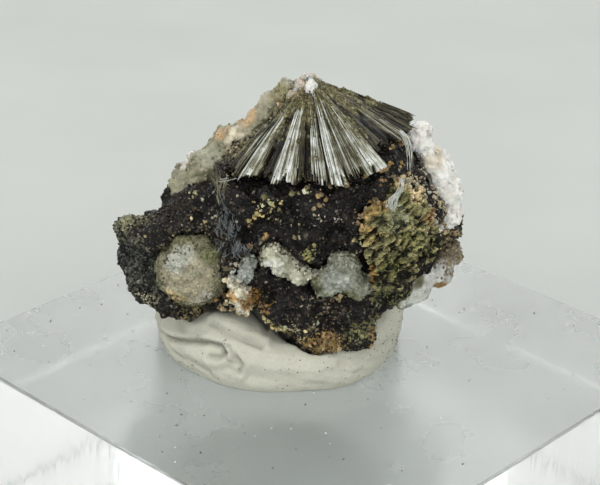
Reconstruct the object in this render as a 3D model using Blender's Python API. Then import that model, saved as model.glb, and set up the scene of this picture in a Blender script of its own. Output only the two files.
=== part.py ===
"""A ferrierite specimen on its display block, at real size, in metres.

A piece of dark basalt carries a radiating fan of ferrierite needles on its top front, and smaller
crusts, blebs and a nodule of other minerals. White putty holds it upright on a clear acrylic block.
The origin is the middle of the block's underside, +Z is up, and the specimen faces -Y.
"""

import math
import random

import bmesh
import bpy
from mathutils import Matrix, Vector, noise

MM = 0.001

# Driving dimensions of the display block, a standard 32 mm mineral base
BLOCK_SIDE = 32 * MM
BLOCK_HEIGHT = 12 * MM
BLOCK_EDGE = 0.5 * MM
BLOCK_TURN = math.radians(45 + 2.8)

# The free gaps between neighbours, which keep two solids from sharing space
GAP = 0.12 * MM
SEAT_GAP = 0.22 * MM
SOCKET_TRIANGLES = 2600

# The gas bubbles broken open in the lava
VESICLE_RADIUS = 0.9 * MM
VESICLE_DEPTH = 0.6 * MM

# The putty's footprint
PUTTY_CENTRE = (-2.4 * MM, 1.9 * MM)
PUTTY_RADIUS = 7.3 * MM


def clear_scene():
    for obj in list(bpy.data.objects):
        bpy.data.objects.remove(obj)


def finish_of(name, colour, roughness, transmission=0.0):
    """A material in sRGB hex colour, as a plain Principled finish."""
    channels = [int(colour[i : i + 2], 16) / 255 for i in (0, 2, 4)]
    linear = [c / 12.92 if c <= 0.04045 else ((c + 0.055) / 1.055) ** 2.4 for c in channels]
    material = bpy.data.materials.new(name)
    material.use_nodes = True
    shader = material.node_tree.nodes["Principled BSDF"]
    shader.inputs["Base Color"].default_value = (*linear, 1.0)
    shader.inputs["Roughness"].default_value = roughness
    shader.inputs["Metallic"].default_value = 0.0
    shader.inputs["Transmission Weight"].default_value = transmission
    return material


def above_block(x, y, z):
    """A point given in millimetres from the middle of the block's top face."""
    return Vector((x * MM, y * MM, z * MM + BLOCK_HEIGHT))


def add_object(name, bm, material=None):
    """Turns the working mesh into an object. One without a material is a hidden cutter."""
    mesh = bpy.data.meshes.new(name)
    bm.to_mesh(mesh)
    bm.free()
    obj = bpy.data.objects.new(name, mesh)
    bpy.context.scene.collection.objects.link(obj)
    if material:
        mesh.materials.append(material)
    else:
        obj.hide_render = True
        obj.display_type = "WIRE"
    return obj


def add_hull(bm, corners):
    """One broken lump of stone: the convex hull of its corners."""
    verts = [bm.verts.new(above_block(*corner)) for corner in corners]
    hull = bmesh.ops.convex_hull(bm, input=verts)
    loose = [v for v in hull["geom_interior"] if isinstance(v, bmesh.types.BMVert)]
    bmesh.ops.delete(bm, geom=loose, context="VERTS")


def add_ball(bm, centre, radii):
    """One rounded lump, an ellipsoid. Both arguments are in millimetres."""
    place = Matrix.Translation(above_block(*centre))
    size = Matrix.Diagonal((*(r * MM for r in radii), 1.0))
    bmesh.ops.create_icosphere(bm, subdivisions=2, radius=1.0, matrix=place @ size)


def settle(obj):
    """Makes what the modifiers give the object's own mesh."""
    graph = bpy.context.evaluated_depsgraph_get()
    mesh = bpy.data.meshes.new_from_object(obj.evaluated_get(graph))
    obj.modifiers.clear()
    obj.data = mesh


def fuse(obj, voxel):
    """Joins overlapping lumps into one skin."""
    remesh = obj.modifiers.new("fuse", "REMESH")
    remesh.mode = "VOXEL"
    remesh.voxel_size = voxel
    settle(obj)


def roughen(obj, layers, seed):
    """Moves the skin in and out by smooth noise. A layer is its (size, depth)."""
    mesh = obj.data
    offset = Vector((seed * 1.7, seed * 3.1, seed * 0.9))
    normals = [v.normal.copy() for v in mesh.vertices]
    for vertex, normal in zip(mesh.vertices, normals):
        shift = sum(depth * noise.noise(vertex.co / size + offset) for size, depth in layers)
        vertex.co += normal * shift
    mesh.update()


def press_pits(obj, count, radius, depth, seed):
    """Sinks round vesicles, the gas bubbles of the lava, into the skin at seeded places."""
    mesh = obj.data
    dice = random.Random(seed)
    places = [vertex.co.copy() for vertex in dice.sample(list(mesh.vertices), count)]
    normals = [vertex.normal.copy() for vertex in mesh.vertices]
    for place in places:
        reach = radius * dice.uniform(0.6, 1.3)
        for vertex, normal in zip(mesh.vertices, normals):
            distance = (vertex.co - place).length
            if distance < reach:
                vertex.co -= normal * depth * (1 - (distance / reach) ** 2)
    mesh.update()


def thin_out(obj, triangles):
    """Leaves about this many triangles, most of them where the form bends."""
    mesh = obj.data
    mesh.calc_loop_triangles()
    decimate = obj.modifiers.new("thin", "DECIMATE")
    decimate.ratio = min(1.0, triangles / len(mesh.loop_triangles))
    decimate.use_collapse_triangulate = True
    settle(obj)


def socket_of(pieces, name, voxel):
    """A hidden cutter: the pieces' joined form, larger by the seat's gap all round."""
    bm = bmesh.new()
    for piece in pieces:
        swollen = piece.data.copy()
        for vertex, normal in zip(swollen.vertices, [v.normal.copy() for v in piece.data.vertices]):
            vertex.co += normal * SEAT_GAP
        bm.from_mesh(swollen)
        bpy.data.meshes.remove(swollen)
    cutter = add_object(name, bm)
    fuse(cutter, voxel)
    thin_out(cutter, SOCKET_TRIANGLES)
    return cutter


def cut(obj, cutter):
    boolean = obj.modifiers.new("seat of " + cutter.name, "BOOLEAN")
    boolean.operation = "DIFFERENCE"
    boolean.object = cutter
    boolean.solver = "EXACT"


def carve(obj, name, centre, radii):
    """Cuts a rounded hollow out of a piece. Centre and radii are in millimetres."""
    bm = bmesh.new()
    add_ball(bm, centre, radii)
    cut(obj, add_object(name, bm))


def drop_chips(obj):
    """Keeps the largest body where a cut has left loose chips beside it."""
    bm = bmesh.new()
    bm.from_mesh(obj.data)
    waiting = set(bm.verts)
    bodies = []
    while waiting:
        body, edge = set(), {waiting.pop()}
        while edge:
            body |= edge
            linked = {e.other_vert(v) for v in edge for e in v.link_edges}
            edge = linked - body
        waiting -= body
        bodies.append(body)
    chips = [v for body in sorted(bodies, key=len)[:-1] for v in body]
    bmesh.ops.delete(bm, geom=chips, context="VERTS")
    bm.to_mesh(obj.data)
    bm.free()


def shade(obj):
    obj.data.shade_smooth()
    obj.data.set_sharp_from_angle(angle=math.radians(35))


def stone(name, material, hulls=(), balls=(), voxel=0.3, layers=(), pits=0, seed=1, triangles=400):
    """A mineral piece made of hulls and balls grown together, with a rough skin. Sizes are in mm."""
    bm = bmesh.new()
    for corners in hulls:
        add_hull(bm, corners)
    for centre, radii in balls:
        add_ball(bm, centre, radii)
    obj = add_object(name, bm, material)
    fuse(obj, voxel * MM)
    roughen(obj, [(size * MM, depth * MM) for size, depth in layers], seed)
    press_pits(obj, pits, VESICLE_RADIUS, VESICLE_DEPTH, seed)
    fuse(obj, voxel * MM)
    thin_out(obj, triangles)
    return obj


# Display block: cast acrylic, sawn square, with the edges broken by a narrow polished chamfer


def make_display_block():
    bm = bmesh.new()
    turn = Matrix.Rotation(BLOCK_TURN, 4, "Z")
    size = Matrix.Diagonal((BLOCK_SIDE, BLOCK_SIDE, BLOCK_HEIGHT, 1.0))
    place = Matrix.Translation((0, 0, BLOCK_HEIGHT / 2))
    bmesh.ops.create_cube(bm, size=1.0, matrix=turn @ place @ size)
    block = add_object("display_block", bm, finish_of("clear acrylic", "E9EFEE", 0.03, 1.0))
    bevel = block.modifiers.new("chamfer", "BEVEL")
    bevel.width = BLOCK_EDGE
    bevel.segments = 1


# Basalt matrix: six blocks left between the broken faces of one stone, corners in millimetres

CORE = (
    (-6.5, -4.4, 4.6), (3.0, -4.2, 4.6), (-7.0, -3.4, 11.9), (-5.4, -4.2, 12.4),
    (-1.5, -4.9, 12.8), (0.7, -4.9, 12.8), (2.9, -4.3, 13.2), (4.2, -3.0, 13.8),
    (-1.7, 0.8, 16.8), (-0.8, 0.8, 16.8), (4.3, 1.4, 14.2), (-8.0, 0.8, 11.0),
    (-7.5, 4.8, 5.0), (-6.0, 4.6, 10.0), (-1.0, 4.0, 14.0), (4.5, 4.5, 11.5),
    (5.0, 5.2, 5.5), (-2.0, 6.0, 7.5), (-6.0, 3.5, 3.0), (3.5, 3.5, 3.0),
)
LEFT_LEDGE = (
    (-11.8, -1.0, 8.4), (-11.2, -2.0, 8.2), (-11.1, -2.0, 7.2), (-10.9, -2.0, 4.5),
    (-9.3, -3.0, 4.0), (-8.2, -3.5, 3.3), (-6.0, -4.4, 4.2), (-6.5, -4.6, 8.4),
    (-9.5, -3.6, 8.6), (-10.6, 1.8, 7.6), (-9.5, 3.5, 4.5), (-7.0, 4.5, 4.0), (-7.0, 4.5, 8.0),
)
UPPER_LEFT = (
    (-9.4, 0.5, 10.4), (-8.7, 0.6, 10.8), (-10.0, -1.0, 9.7), (-9.6, -1.4, 8.6),
    (-9.0, -3.2, 8.8), (-7.1, -3.7, 12.0), (-5.6, -4.4, 12.3), (-6.5, -4.8, 8.4),
    (-7.0, 2.0, 11.6), (-8.0, 3.0, 9.2), (-9.5, 1.5, 8.4),
)
LOWER_FRONT = (
    (0.3, -4.9, 1.9), (2.9, -4.2, 2.4), (3.4, -3.0, 2.8), (3.5, -2.5, 4.8), (-1.5, -4.7, 2.6),
    (-3.4, -4.3, 4.1), (-4.6, -4.2, 5.4), (-1.8, -4.8, 5.6), (2.5, -4.9, 5.6),
    (1.5, -5.2, 6.9), (-4.0, 3.0, 2.6), (3.0, 3.0, 2.6), (0.0, -1.0, 2.0),
)
RIGHT_FLANK = (
    (4.3, -3.2, 13.4), (2.5, -5.3, 12.1), (1.2, -5.3, 10.5), (7.4, -0.5, 8.0), (4.1, -4.0, 6.2),
    (5.3, -3.8, 9.9), (1.5, -5.1, 6.9), (7.9, 0.5, 7.4), (7.8, 1.0, 9.0), (7.5, 2.2, 10.2),
    (6.6, 2.6, 11.4), (5.6, 2.2, 12.9), (5.1, 1.6, 13.9), (6.5, 4.5, 8.0), (5.0, 5.0, 6.0),
)
RIGHT_FOOT = (
    (4.5, -2.4, 4.5), (5.6, -1.5, 5.1), (6.5, -0.9, 5.0), (7.4, 0.2, 5.8), (7.3, 1.5, 7.0),
    (4.2, -3.8, 6.4), (3.4, -3.4, 5.4), (5.0, 2.0, 4.6), (7.4, -0.3, 7.4),
)


def make_basalt_matrix():
    return stone(
        "basalt_matrix",
        finish_of("vuggy basalt", "2E2A2C", 0.8),
        hulls=(CORE, LEFT_LEDGE, UPPER_LEFT, LOWER_FRONT, RIGHT_FLANK, RIGHT_FOOT),
        voxel=0.3,
        layers=((3.2, 0.6), (1.5, 0.7), (0.8, 0.4)),
        pits=60,
        seed=3,
        triangles=3400,
    )


# Two natural openings in the front foot of the stone: a cavity above the putty and the crack over it

CAVITY = ((-4.3, -4.6, 4.3), (1.0, 1.1, 0.5))
CRACK = ((-5.75, -5.0, 5.4), (0.22, 1.1, 1.2))


# Ferrierite spray: needles that radiate from one point, grown together in ridged bundles

SPRAY_APEX = (-1.2, -0.6, 17.8)
SPRAY_ROOT = (-1.0, 0.8, 15.2)
SPRAY_RIM = (
    (-5.8, -3.6, 12.9), (-4.3, -4.9, 12.8), (-1.5, -5.5, 13.2), (0.7, -5.5, 13.2),
    (2.9, -4.9, 13.6), (4.3, -3.2, 14.1), (4.9, -0.9, 14.4), (4.7, 0.9, 14.9),
)
SPRAY_COLUMNS = 96
SPRAY_THICKNESS = 1.0
RIDGE_HEIGHT = 0.2
NEEDLE_STATIONS = (0.14, 0.38, 0.68, 1.0)
# Each bundle: its start and end along the rim, how far it stands proud in millimetres, and its length
SPRAY_BUNDLES = (
    (0.00, 0.07, 0.05, 0.97), (0.08, 0.155, 0.25, 1.00), (0.205, 0.27, 0.35, 1.01),
    (0.27, 0.29, 0.05, 0.97), (0.325, 0.38, 0.30, 0.98), (0.395, 0.45, 0.42, 1.00),
    (0.465, 0.56, 0.50, 0.95), (0.60, 0.64, 0.00, 0.80), (0.69, 0.72, 0.00, 0.86),
    (0.74, 0.82, 0.25, 1.00), (0.84, 1.00, 0.30, 1.00),
)
HOLLOW_LIFT = -0.25
HOLLOW_LENGTH = 0.9


def along(points, share):
    """The point at a share of the length of a smooth curve through the points."""
    place = share * (len(points) - 1)
    index = min(int(place), len(points) - 2)
    ends = [Vector(points[max(0, min(len(points) - 1, index + k))]) for k in (-1, 0, 1, 2)]
    t = place - index
    before, start, end, after = ends
    return 0.5 * (
        2 * start
        + (end - before) * t
        + (2 * before - 5 * start + 4 * end - after) * t * t
        + (3 * start - 3 * end + after - before) * t**3
    )


def bundle_at(share):
    """How proud and how long the fan is at this share of its rim."""
    for start, end, lift, length in SPRAY_BUNDLES:
        if start <= share <= end:
            crown = 1 - ((2 * share - start - end) / (end - start)) ** 4
            return HOLLOW_LIFT + (lift - HOLLOW_LIFT) * (0.4 + 0.6 * crown), length
    return HOLLOW_LIFT, HOLLOW_LENGTH


def make_ferrierite_spray():
    bm = bmesh.new()
    apex = Vector(SPRAY_APEX)
    runs, lifts, feet = [], [], []
    for column in range(SPRAY_COLUMNS + 1):
        share = column / SPRAY_COLUMNS
        rim = along(SPRAY_RIM, share)
        beside = along(SPRAY_RIM, min(1, share + 0.02)) - along(SPRAY_RIM, max(0, share - 0.02))
        outward = beside.cross(rim - apex).normalized()
        outward *= math.copysign(1.0, outward.z)
        proud, length = bundle_at(share)
        ridge = RIDGE_HEIGHT * (column % 2) * (1 + noise.noise(Vector((share * 50, 0.5, 0.5))))
        length += 0.04 * noise.noise(Vector((share * 37, 3.5, 0.5)))
        runs.append((rim - apex) * length)
        lifts.append(outward * (ridge + proud))
        feet.append(bm.verts.new(above_block(*(apex + runs[-1] - outward * SPRAY_THICKNESS))))
    tip = bm.verts.new(above_block(*apex))
    root = bm.verts.new(above_block(*SPRAY_ROOT))
    top = []
    for station in NEEDLE_STATIONS:
        places = [apex + (run + lift) * station for run, lift in zip(runs, lifts)]
        top.append([bm.verts.new(above_block(*place)) for place in places])
    rows = top + [feet]
    for column in range(SPRAY_COLUMNS):
        bm.faces.new((tip, rows[0][column], rows[0][column + 1]))
        bm.faces.new((root, feet[column + 1], feet[column]))
        for upper, lower in zip(rows, rows[1:]):
            bm.faces.new((upper[column], lower[column], lower[column + 1], upper[column + 1]))
    for side in (0, -1):
        bm.faces.new([tip, root, *(row[side] for row in reversed(rows))])
    bmesh.ops.triangulate(bm, faces=bm.faces)
    bmesh.ops.recalc_face_normals(bm, faces=bm.faces)
    return add_object("ferrierite_spray", bm, finish_of("silky ferrierite", "B9BDB2", 0.35))


# The smaller minerals: balls as (centre, radii) and hulls of corners, in millimetres

NODULE = (((-7.4, -3.6, 6.9), (2.3, 1.6, 2.3)),)
DRUSY_CRUST = (
    ((-7.7, 0.0, 11.0), (1.2, 1.5, 1.1)), ((-6.8, -0.4, 12.1), (1.2, 1.5, 1.0)),
    ((-5.9, 0.0, 13.0), (1.1, 1.4, 1.0)), ((-5.0, 0.1, 13.8), (0.9, 1.2, 0.8)),
    ((-8.1, -1.0, 10.6), (0.9, 1.2, 0.8)), ((-4.0, 0.5, 14.8), (0.8, 1.2, 0.8)),
    ((-3.1, 0.7, 15.7), (0.8, 1.1, 0.8)), ((-2.4, 0.8, 16.4), (0.6, 0.9, 0.6)),
)
BLEB_LEFT = (((-4.3, -4.8, 7.8), (0.5, 1.0, 0.85)),)
BLEB_MIDDLE = (
    ((-3.0, -4.5, 8.5), (0.6, 0.9, 0.7)), ((-2.3, -4.6, 8.0), (0.8, 1.0, 0.8)),
    ((-1.5, -4.6, 7.5), (0.8, 1.0, 0.7)),
)
BLEB_RIGHT = (
    ((0.2, -4.9, 7.2), (0.8, 0.9, 0.8)), ((1.2, -4.9, 7.8), (1.0, 1.1, 1.1)),
    ((1.9, -4.7, 6.8), (0.9, 1.1, 0.9)),
)
QUARTZ_DRUSE = (
    ((5.3, 1.5, 13.5), (0.8, 1.4, 0.9)), ((5.9, 1.4, 12.6), (0.7, 1.5, 0.7)),
    ((6.5, 1.4, 11.6), (1.0, 1.5, 1.0)), ((7.1, 1.0, 10.4), (1.0, 1.5, 0.8)),
    ((7.3, 0.7, 9.1), (0.9, 1.3, 0.8)),
)
CHALCEDONY_LOBES = (
    ((6.7, -0.8, 5.9), (1.1, 1.1, 0.9)), ((5.4, -1.9, 5.3), (1.0, 1.0, 0.8)),
    ((4.6, -2.5, 4.9), (0.7, 0.8, 0.7)), ((7.6, -0.1, 6.9), (0.6, 0.9, 0.6)),
)
CALCITE_RIB = (
    ((-5.2, -4.7, 7.0), (0.3, 0.7, 0.4)), ((-4.8, -4.8, 6.2), (0.5, 0.7, 0.6)),
    ((-4.4, -4.7, 5.4), (0.5, 0.7, 0.5)),
)
CLAY_CRUST = (
    (4.4, -3.7, 13.3), (2.7, -5.9, 11.9), (1.6, -5.9, 10.5), (2.2, -5.6, 8.8), (2.9, -5.2, 6.6),
    (4.4, -4.6, 6.4), (5.6, -4.3, 9.9), (6.6, -1.9, 7.2), (7.5, -1.0, 8.2), (5.4, -2.4, 11.6),
    (3.0, -3.8, 12.0), (3.0, -3.6, 7.4), (5.6, -1.5, 9.0),
)
CLAY_PITS = (
    ((3.2, -5.7, 9.2), 0.5), ((4.1, -5.2, 8.6), 0.45), ((4.9, -4.6, 8.4), 0.4),
    ((4.6, -4.9, 9.8), 0.5), ((3.5, -5.6, 7.6), 0.45), ((5.4, -3.6, 7.4), 0.5),
    ((5.8, -3.3, 9.0), 0.45), ((4.0, -5.0, 10.9), 0.45),
)


def make_clay_crust():
    crust = stone(
        "clay_crust",
        finish_of("green clay", "7D7B55", 0.85),
        hulls=(CLAY_CRUST,),
        voxel=0.22,
        layers=((1.4, 0.5), (0.6, 0.35)),
        seed=8,
        triangles=900,
    )
    for index, (centre, radius) in enumerate(CLAY_PITS):
        carve(crust, f"clay_pit_{index}", centre, (radius, radius, radius))
    settle(crust)
    return crust


def make_crusts():
    """The pieces that sit in sockets of the basalt."""
    milky = finish_of("milky chalcedony", "B4B6A6", 0.4)
    waxy = ((0.9, 0.25), (0.45, 0.15))
    grainy = ((0.9, 0.4), (0.45, 0.2))
    coarse = ((1.0, 0.5), (0.5, 0.25))
    tan = finish_of("tan druse", "A39A7C", 0.45)
    sugary = finish_of("sugary quartz", "DAD6D2", 0.4)
    rusty = finish_of("rusty calcite", "B39B78", 0.6)
    fine = {"voxel": 0.2, "layers": grainy}
    return [
        stone("chalcedony_nodule", milky, balls=NODULE, layers=waxy, seed=2, triangles=420),
        stone("drusy_crust", tan, balls=DRUSY_CRUST, layers=coarse, seed=5, triangles=560),
        stone("quartz_druse", sugary, balls=QUARTZ_DRUSE, layers=coarse, seed=6, triangles=520),
        stone("chalcedony_lobes", milky, balls=CHALCEDONY_LOBES, layers=grainy, seed=7, triangles=420),
        stone("seam_bleb_left", milky, balls=BLEB_LEFT, triangles=110, **fine),
        stone("seam_bleb_middle", milky, balls=BLEB_MIDDLE, triangles=260, **fine),
        stone("seam_bleb_right", milky, balls=BLEB_RIGHT, triangles=280, **fine),
        stone("calcite_rib", rusty, balls=CALCITE_RIB, voxel=0.18, layers=waxy, seed=9, triangles=200),
    ]


# Mounting putty: a pea of white putty pressed flat on the block and up around the foot of the stone

LIP_HEIGHTS = (  # height of the pressed lip every 30 degrees, from +X anticlockwise, in millimetres
    4.0, 4.3, 4.2, 4.0, 3.8, 3.6, 3.2, 3.2, 3.9, 2.6, 2.3, 3.0,
)
PUTTY_SIDE = ((0.0, -0.05), (0.1, 0.12), (0.35, 0.2), (0.6, 0.12), (0.85, -0.3), (1.0, -1.1))
PUTTY_INNER = ((0.95, -2.4), (0.8, -4.2))


def lip_height(angle):
    """The lip's height round the putty, a smooth curve through LIP_HEIGHTS."""
    place = angle / math.tau * len(LIP_HEIGHTS)
    index = int(place)
    low, high = (LIP_HEIGHTS[(index + k) % len(LIP_HEIGHTS)] for k in (0, 1))
    t = place - index
    return low + (high - low) * t * t * (3 - 2 * t)


def make_mounting_putty():
    bm = bmesh.new()
    steps = 40
    centre = Vector((*PUTTY_CENTRE, 0.0))
    rings = []
    for share, out in PUTTY_SIDE + PUTTY_INNER:
        ring = []
        for step in range(steps):
            angle = math.tau * step / steps
            toward = Vector((math.cos(angle), math.sin(angle), 0))
            wobble = 0.25 * noise.noise(toward * 1.7 + Vector((0, 0, share * 2)))
            radius = PUTTY_RADIUS + (out + wobble) * MM
            height = BLOCK_HEIGHT + GAP + share * lip_height(angle) * MM
            ring.append(bm.verts.new(centre + toward * radius + Vector((0, 0, height))))
        rings.append(ring)
    for lower, upper in zip(rings, rings[1:]):
        for step in range(steps):
            after = (step + 1) % steps
            bm.faces.new((lower[step], lower[after], upper[after], upper[step]))
    bm.faces.new(list(reversed(rings[0])))
    bm.faces.new(rings[-1])
    bmesh.ops.triangulate(bm, faces=bm.faces)
    return add_object("mounting_putty", bm, finish_of("white putty", "CFCBC0", 0.75))


def main():
    clear_scene()
    make_display_block()
    putty = make_mounting_putty()
    matrix = make_basalt_matrix()
    spray = make_ferrierite_spray()
    crusts = make_crusts() + [make_clay_crust()]
    cut(matrix, socket_of([spray, *crusts], "crust_sockets", 0.28 * MM))
    carve(matrix, "cavity", *CAVITY)
    carve(matrix, "crack", *CRACK)
    settle(matrix)
    drop_chips(matrix)
    cut(putty, socket_of([matrix], "stone_seat", 0.4 * MM))
    settle(putty)
    drop_chips(putty)
    for piece in [putty, matrix, spray, *crusts]:
        shade(piece)


main()
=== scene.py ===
import math
import random

import bmesh
import bpy
import numpy as np
from mathutils import Matrix, Vector, noise
from mathutils.bvhtree import BVHTree


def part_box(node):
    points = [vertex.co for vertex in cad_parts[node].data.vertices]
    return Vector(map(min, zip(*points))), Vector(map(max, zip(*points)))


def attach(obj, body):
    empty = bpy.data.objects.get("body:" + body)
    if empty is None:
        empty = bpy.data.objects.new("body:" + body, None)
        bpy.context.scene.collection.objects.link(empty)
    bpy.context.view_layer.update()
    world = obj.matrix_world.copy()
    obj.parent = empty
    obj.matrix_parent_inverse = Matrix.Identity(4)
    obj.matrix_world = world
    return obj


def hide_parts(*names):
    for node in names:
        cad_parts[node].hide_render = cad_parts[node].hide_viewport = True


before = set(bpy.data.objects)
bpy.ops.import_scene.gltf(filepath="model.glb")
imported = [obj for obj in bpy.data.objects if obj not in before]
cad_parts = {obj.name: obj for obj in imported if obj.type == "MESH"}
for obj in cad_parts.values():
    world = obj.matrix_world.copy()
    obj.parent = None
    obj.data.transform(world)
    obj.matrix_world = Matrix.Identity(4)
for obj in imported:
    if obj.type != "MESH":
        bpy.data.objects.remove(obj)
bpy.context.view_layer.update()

# Camera
# The photograph is a macro picture from 109 mm away and 29 degrees up, with the block turned cornerwise.
# The lens and the tilt were found from the block's four top edges.

MM = 0.001
BLOCK_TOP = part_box("display_block")[1].z


def above_block(x, y, z):
    """A place given in millimetres from the middle of the block's top face."""
    return Vector((x * MM, y * MM, z * MM + BLOCK_TOP))


def in_mm(place):
    """A place in metres, given back in those millimetres."""
    return (place - above_block(0, 0, 0)) / MM


CAMERA_PLACE = (-1.38, -95.61, 52.86)  # mm
CAMERA_DOWN, CAMERA_ROLL = 25.56, 2.07  # degrees

camera_data = bpy.data.cameras.new("camera")
camera_data.lens = 108.3
camera_data.sensor_width = 36
camera_data.clip_start = 5 * MM
camera = bpy.data.objects.new("camera", camera_data)
tilt = Matrix.Rotation(math.radians(90 - CAMERA_DOWN), 4, "X") @ Matrix.Rotation(math.radians(CAMERA_ROLL), 4, "Z")
camera.matrix_world = Matrix.Translation(above_block(*CAMERA_PLACE)) @ tilt
bpy.context.scene.collection.objects.link(camera)
bpy.context.scene.camera = camera

# Studio
# A pale sheet of card carries the block, a hair's breadth below it, and its far side is out of the picture.
# A soft box hangs in front and above, a large one shines through the block from behind, and one fills in.


def linear(colour):
    """An sRGB hex colour as linear red, green, blue and alpha."""
    channels = [int(colour[i : i + 2], 16) / 255 for i in (0, 2, 4)]
    return (*(c / 12.92 if c <= 0.04045 else ((c + 0.055) / 1.055) ** 2.4 for c in channels), 1.0)


def add(tree, kind, inputs=None, stops=(), **settings):
    """Adds a node with its settings, its ramp stops, and a value or a link on each named input."""
    node = tree.nodes.new(kind)
    for name, value in settings.items():
        setattr(node, name, value)
    for index, (place, colour) in enumerate(stops):
        ramp = node.color_ramp.elements
        stop = ramp[index] if index < 2 else ramp.new(place)
        stop.position = place
        stop.color = linear(colour)
    for key, value in (inputs or {}).items():
        if isinstance(value, bpy.types.Node):
            value = value.outputs[0]
        if isinstance(value, bpy.types.NodeSocket):
            tree.links.new(value, node.inputs[key])
        else:
            node.inputs[key].default_value = value
    return node


def span(tree, value, low, high, start=0.0, end=1.0):
    """Maps the stretch from low to high onto start to end, and holds its ends."""
    ends = {"From Min": low, "From Max": high, "To Min": start, "To Max": end}
    return add(tree, "ShaderNodeMapRange", {"Value": value, **ends})


def clouds(tree, where, size, detail, rough=0.5):
    """Soft noise whose blotches have this size in mm."""
    values = {"Vector": where, "Scale": 1 / (size * MM), "Detail": detail, "Roughness": rough}
    return add(tree, "ShaderNodeTexNoise", values)


def new_material(name, **values):
    """A Principled material. The values go on the shader's own sockets."""
    material = bpy.data.materials.new(name)
    material.use_nodes = True
    shader = material.node_tree.nodes["Principled BSDF"]
    for socket, value in values.items():
        shader.inputs[socket.replace("_", " ")].default_value = value
    return material, material.node_tree, shader


def mesh_of(bm, name):
    """Turns an edit mesh into a mesh, and frees it."""
    mesh = bpy.data.meshes.new(name)
    bm.to_mesh(mesh)
    bm.free()
    return mesh


def add_mesh(name, mesh, *materials):
    """Puts a mesh into the scene, with only these materials."""
    obj = bpy.data.objects.new(name, mesh)
    bpy.context.scene.collection.objects.link(obj)
    mesh.materials.clear()
    for material in materials:
        mesh.materials.append(material)
    return obj


# Pale matt card: almost even, with a faint soft mottle about 20 mm wide
card, tree, shader = new_material("matt pale card", Roughness=0.85)
where = add(tree, "ShaderNodeTexCoord").outputs["Object"]
mottle = clouds(tree, where, 20, 2.0)
tone = add(tree, "ShaderNodeValToRGB", {0: mottle}, stops=((0.3, "C2C5C1"), (0.7, "C8CBC7")))
tree.links.new(tone.outputs[0], shader.inputs["Base Color"])

FLOOR_REACH = 1.5  # metres each way
FLOOR_GAP = 0.05  # mm under the block

floor_bm = bmesh.new()
bmesh.ops.create_grid(
    floor_bm, x_segments=2, y_segments=2, size=FLOOR_REACH, matrix=Matrix.Translation((0, 0, -FLOOR_GAP * MM)),
)
add_mesh("floor", mesh_of(floor_bm, "floor"), card)

SOFT_BOXES = (  # place in mm, side in mm, watts
    ((-90, -130, 260), 200, 0.34),
    ((60, 420, 240), 400, 0.65),
    ((20, -260, 150), 180, 0.22),
)
STONE_MIDDLE = above_block(0, 0, 8)
for index, (place, side, watts) in enumerate(SOFT_BOXES):
    light = bpy.data.lights.new(f"soft_box_{index}", "AREA")
    light.size = side * MM
    light.energy = watts
    lamp = bpy.data.objects.new(light.name, light)
    lamp.location = above_block(*place)
    lamp.rotation_euler = (STONE_MIDDLE - lamp.location).to_track_quat("-Z", "Y").to_euler()
    bpy.context.scene.collection.objects.link(lamp)

# Pale room: its windows make a brighter band all round, from about 15 to 40 degrees up
room = bpy.data.worlds.new("pale room with windows")
room.use_nodes = True
backdrop = room.node_tree.nodes["Background"]
backdrop.inputs["Strength"].default_value = 1.6
seen = add(room.node_tree, "ShaderNodeTexCoord").outputs["Generated"]
height = add(room.node_tree, "ShaderNodeSeparateXYZ", {0: seen}).outputs["Z"]
walls = add(
    room.node_tree, "ShaderNodeValToRGB", {0: height},
    stops=((0.18, "6F7170"), (0.32, "F7F9F6"), (0.54, "F7F9F6"), (0.70, "6F7170")),
)
room.node_tree.links.new(walls.outputs[0], backdrop.inputs["Color"])
bpy.context.scene.world = room
bpy.context.scene.view_settings.view_transform = "Standard"

# Display block
# A square of clear cast acrylic, sawn from a thick sheet, with a narrow broken edge all round.
# Its top is wiped a little dull, its underside is clear, and its sides keep the saw's marks.

BLOCK_SIDE = 32  # mm
BLOCK_EDGE = 0.14  # mm broken off each edge
BLOCK_TURN = 47.8  # degrees

# Cast acrylic: clear, IOR 1.49, with a faint haze of fine scratches that blurs what is seen through it
acrylic, tree, shader = new_material(
    "wiped cast acrylic", Base_Color=linear("ECF0EE"), IOR=1.49, Transmission_Weight=0.86,
)
where = add(tree, "ShaderNodeTexCoord").outputs["Object"]
haze = span(tree, clouds(tree, where, 5, 4.0), 0.3, 0.7, 0.17, 0.32)
tree.links.new(haze.outputs[0], shader.inputs["Roughness"])

# Sawn acrylic: the same plastic with upright marks about 0.7 mm apart, which scatter the light
sawn, tree, shader = new_material(
    "sawn cast acrylic", Base_Color=linear("FDFEFE"), IOR=1.49, Roughness=0.16, Transmission_Weight=0.85,
)
where = add(tree, "ShaderNodeTexCoord").outputs["Object"]
upright = add(tree, "ShaderNodeMapping", {"Vector": where, "Scale": (1, 1, 0.06)})
marks = clouds(tree, upright, 0.7, 3.0)
bump = add(tree, "ShaderNodeBump", {"Height": marks, "Strength": 0.5, "Distance": 0.1 * MM})
tree.links.new(bump.outputs[0], shader.inputs["Normal"])

# Clear acrylic: the underside, without the haze, so that the sides mirror the bright room in it
clear, tree, shader = new_material(
    "clear cast acrylic", Base_Color=linear("FBFDFC"), IOR=1.49, Roughness=0.1, Transmission_Weight=0.9,
)

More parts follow.
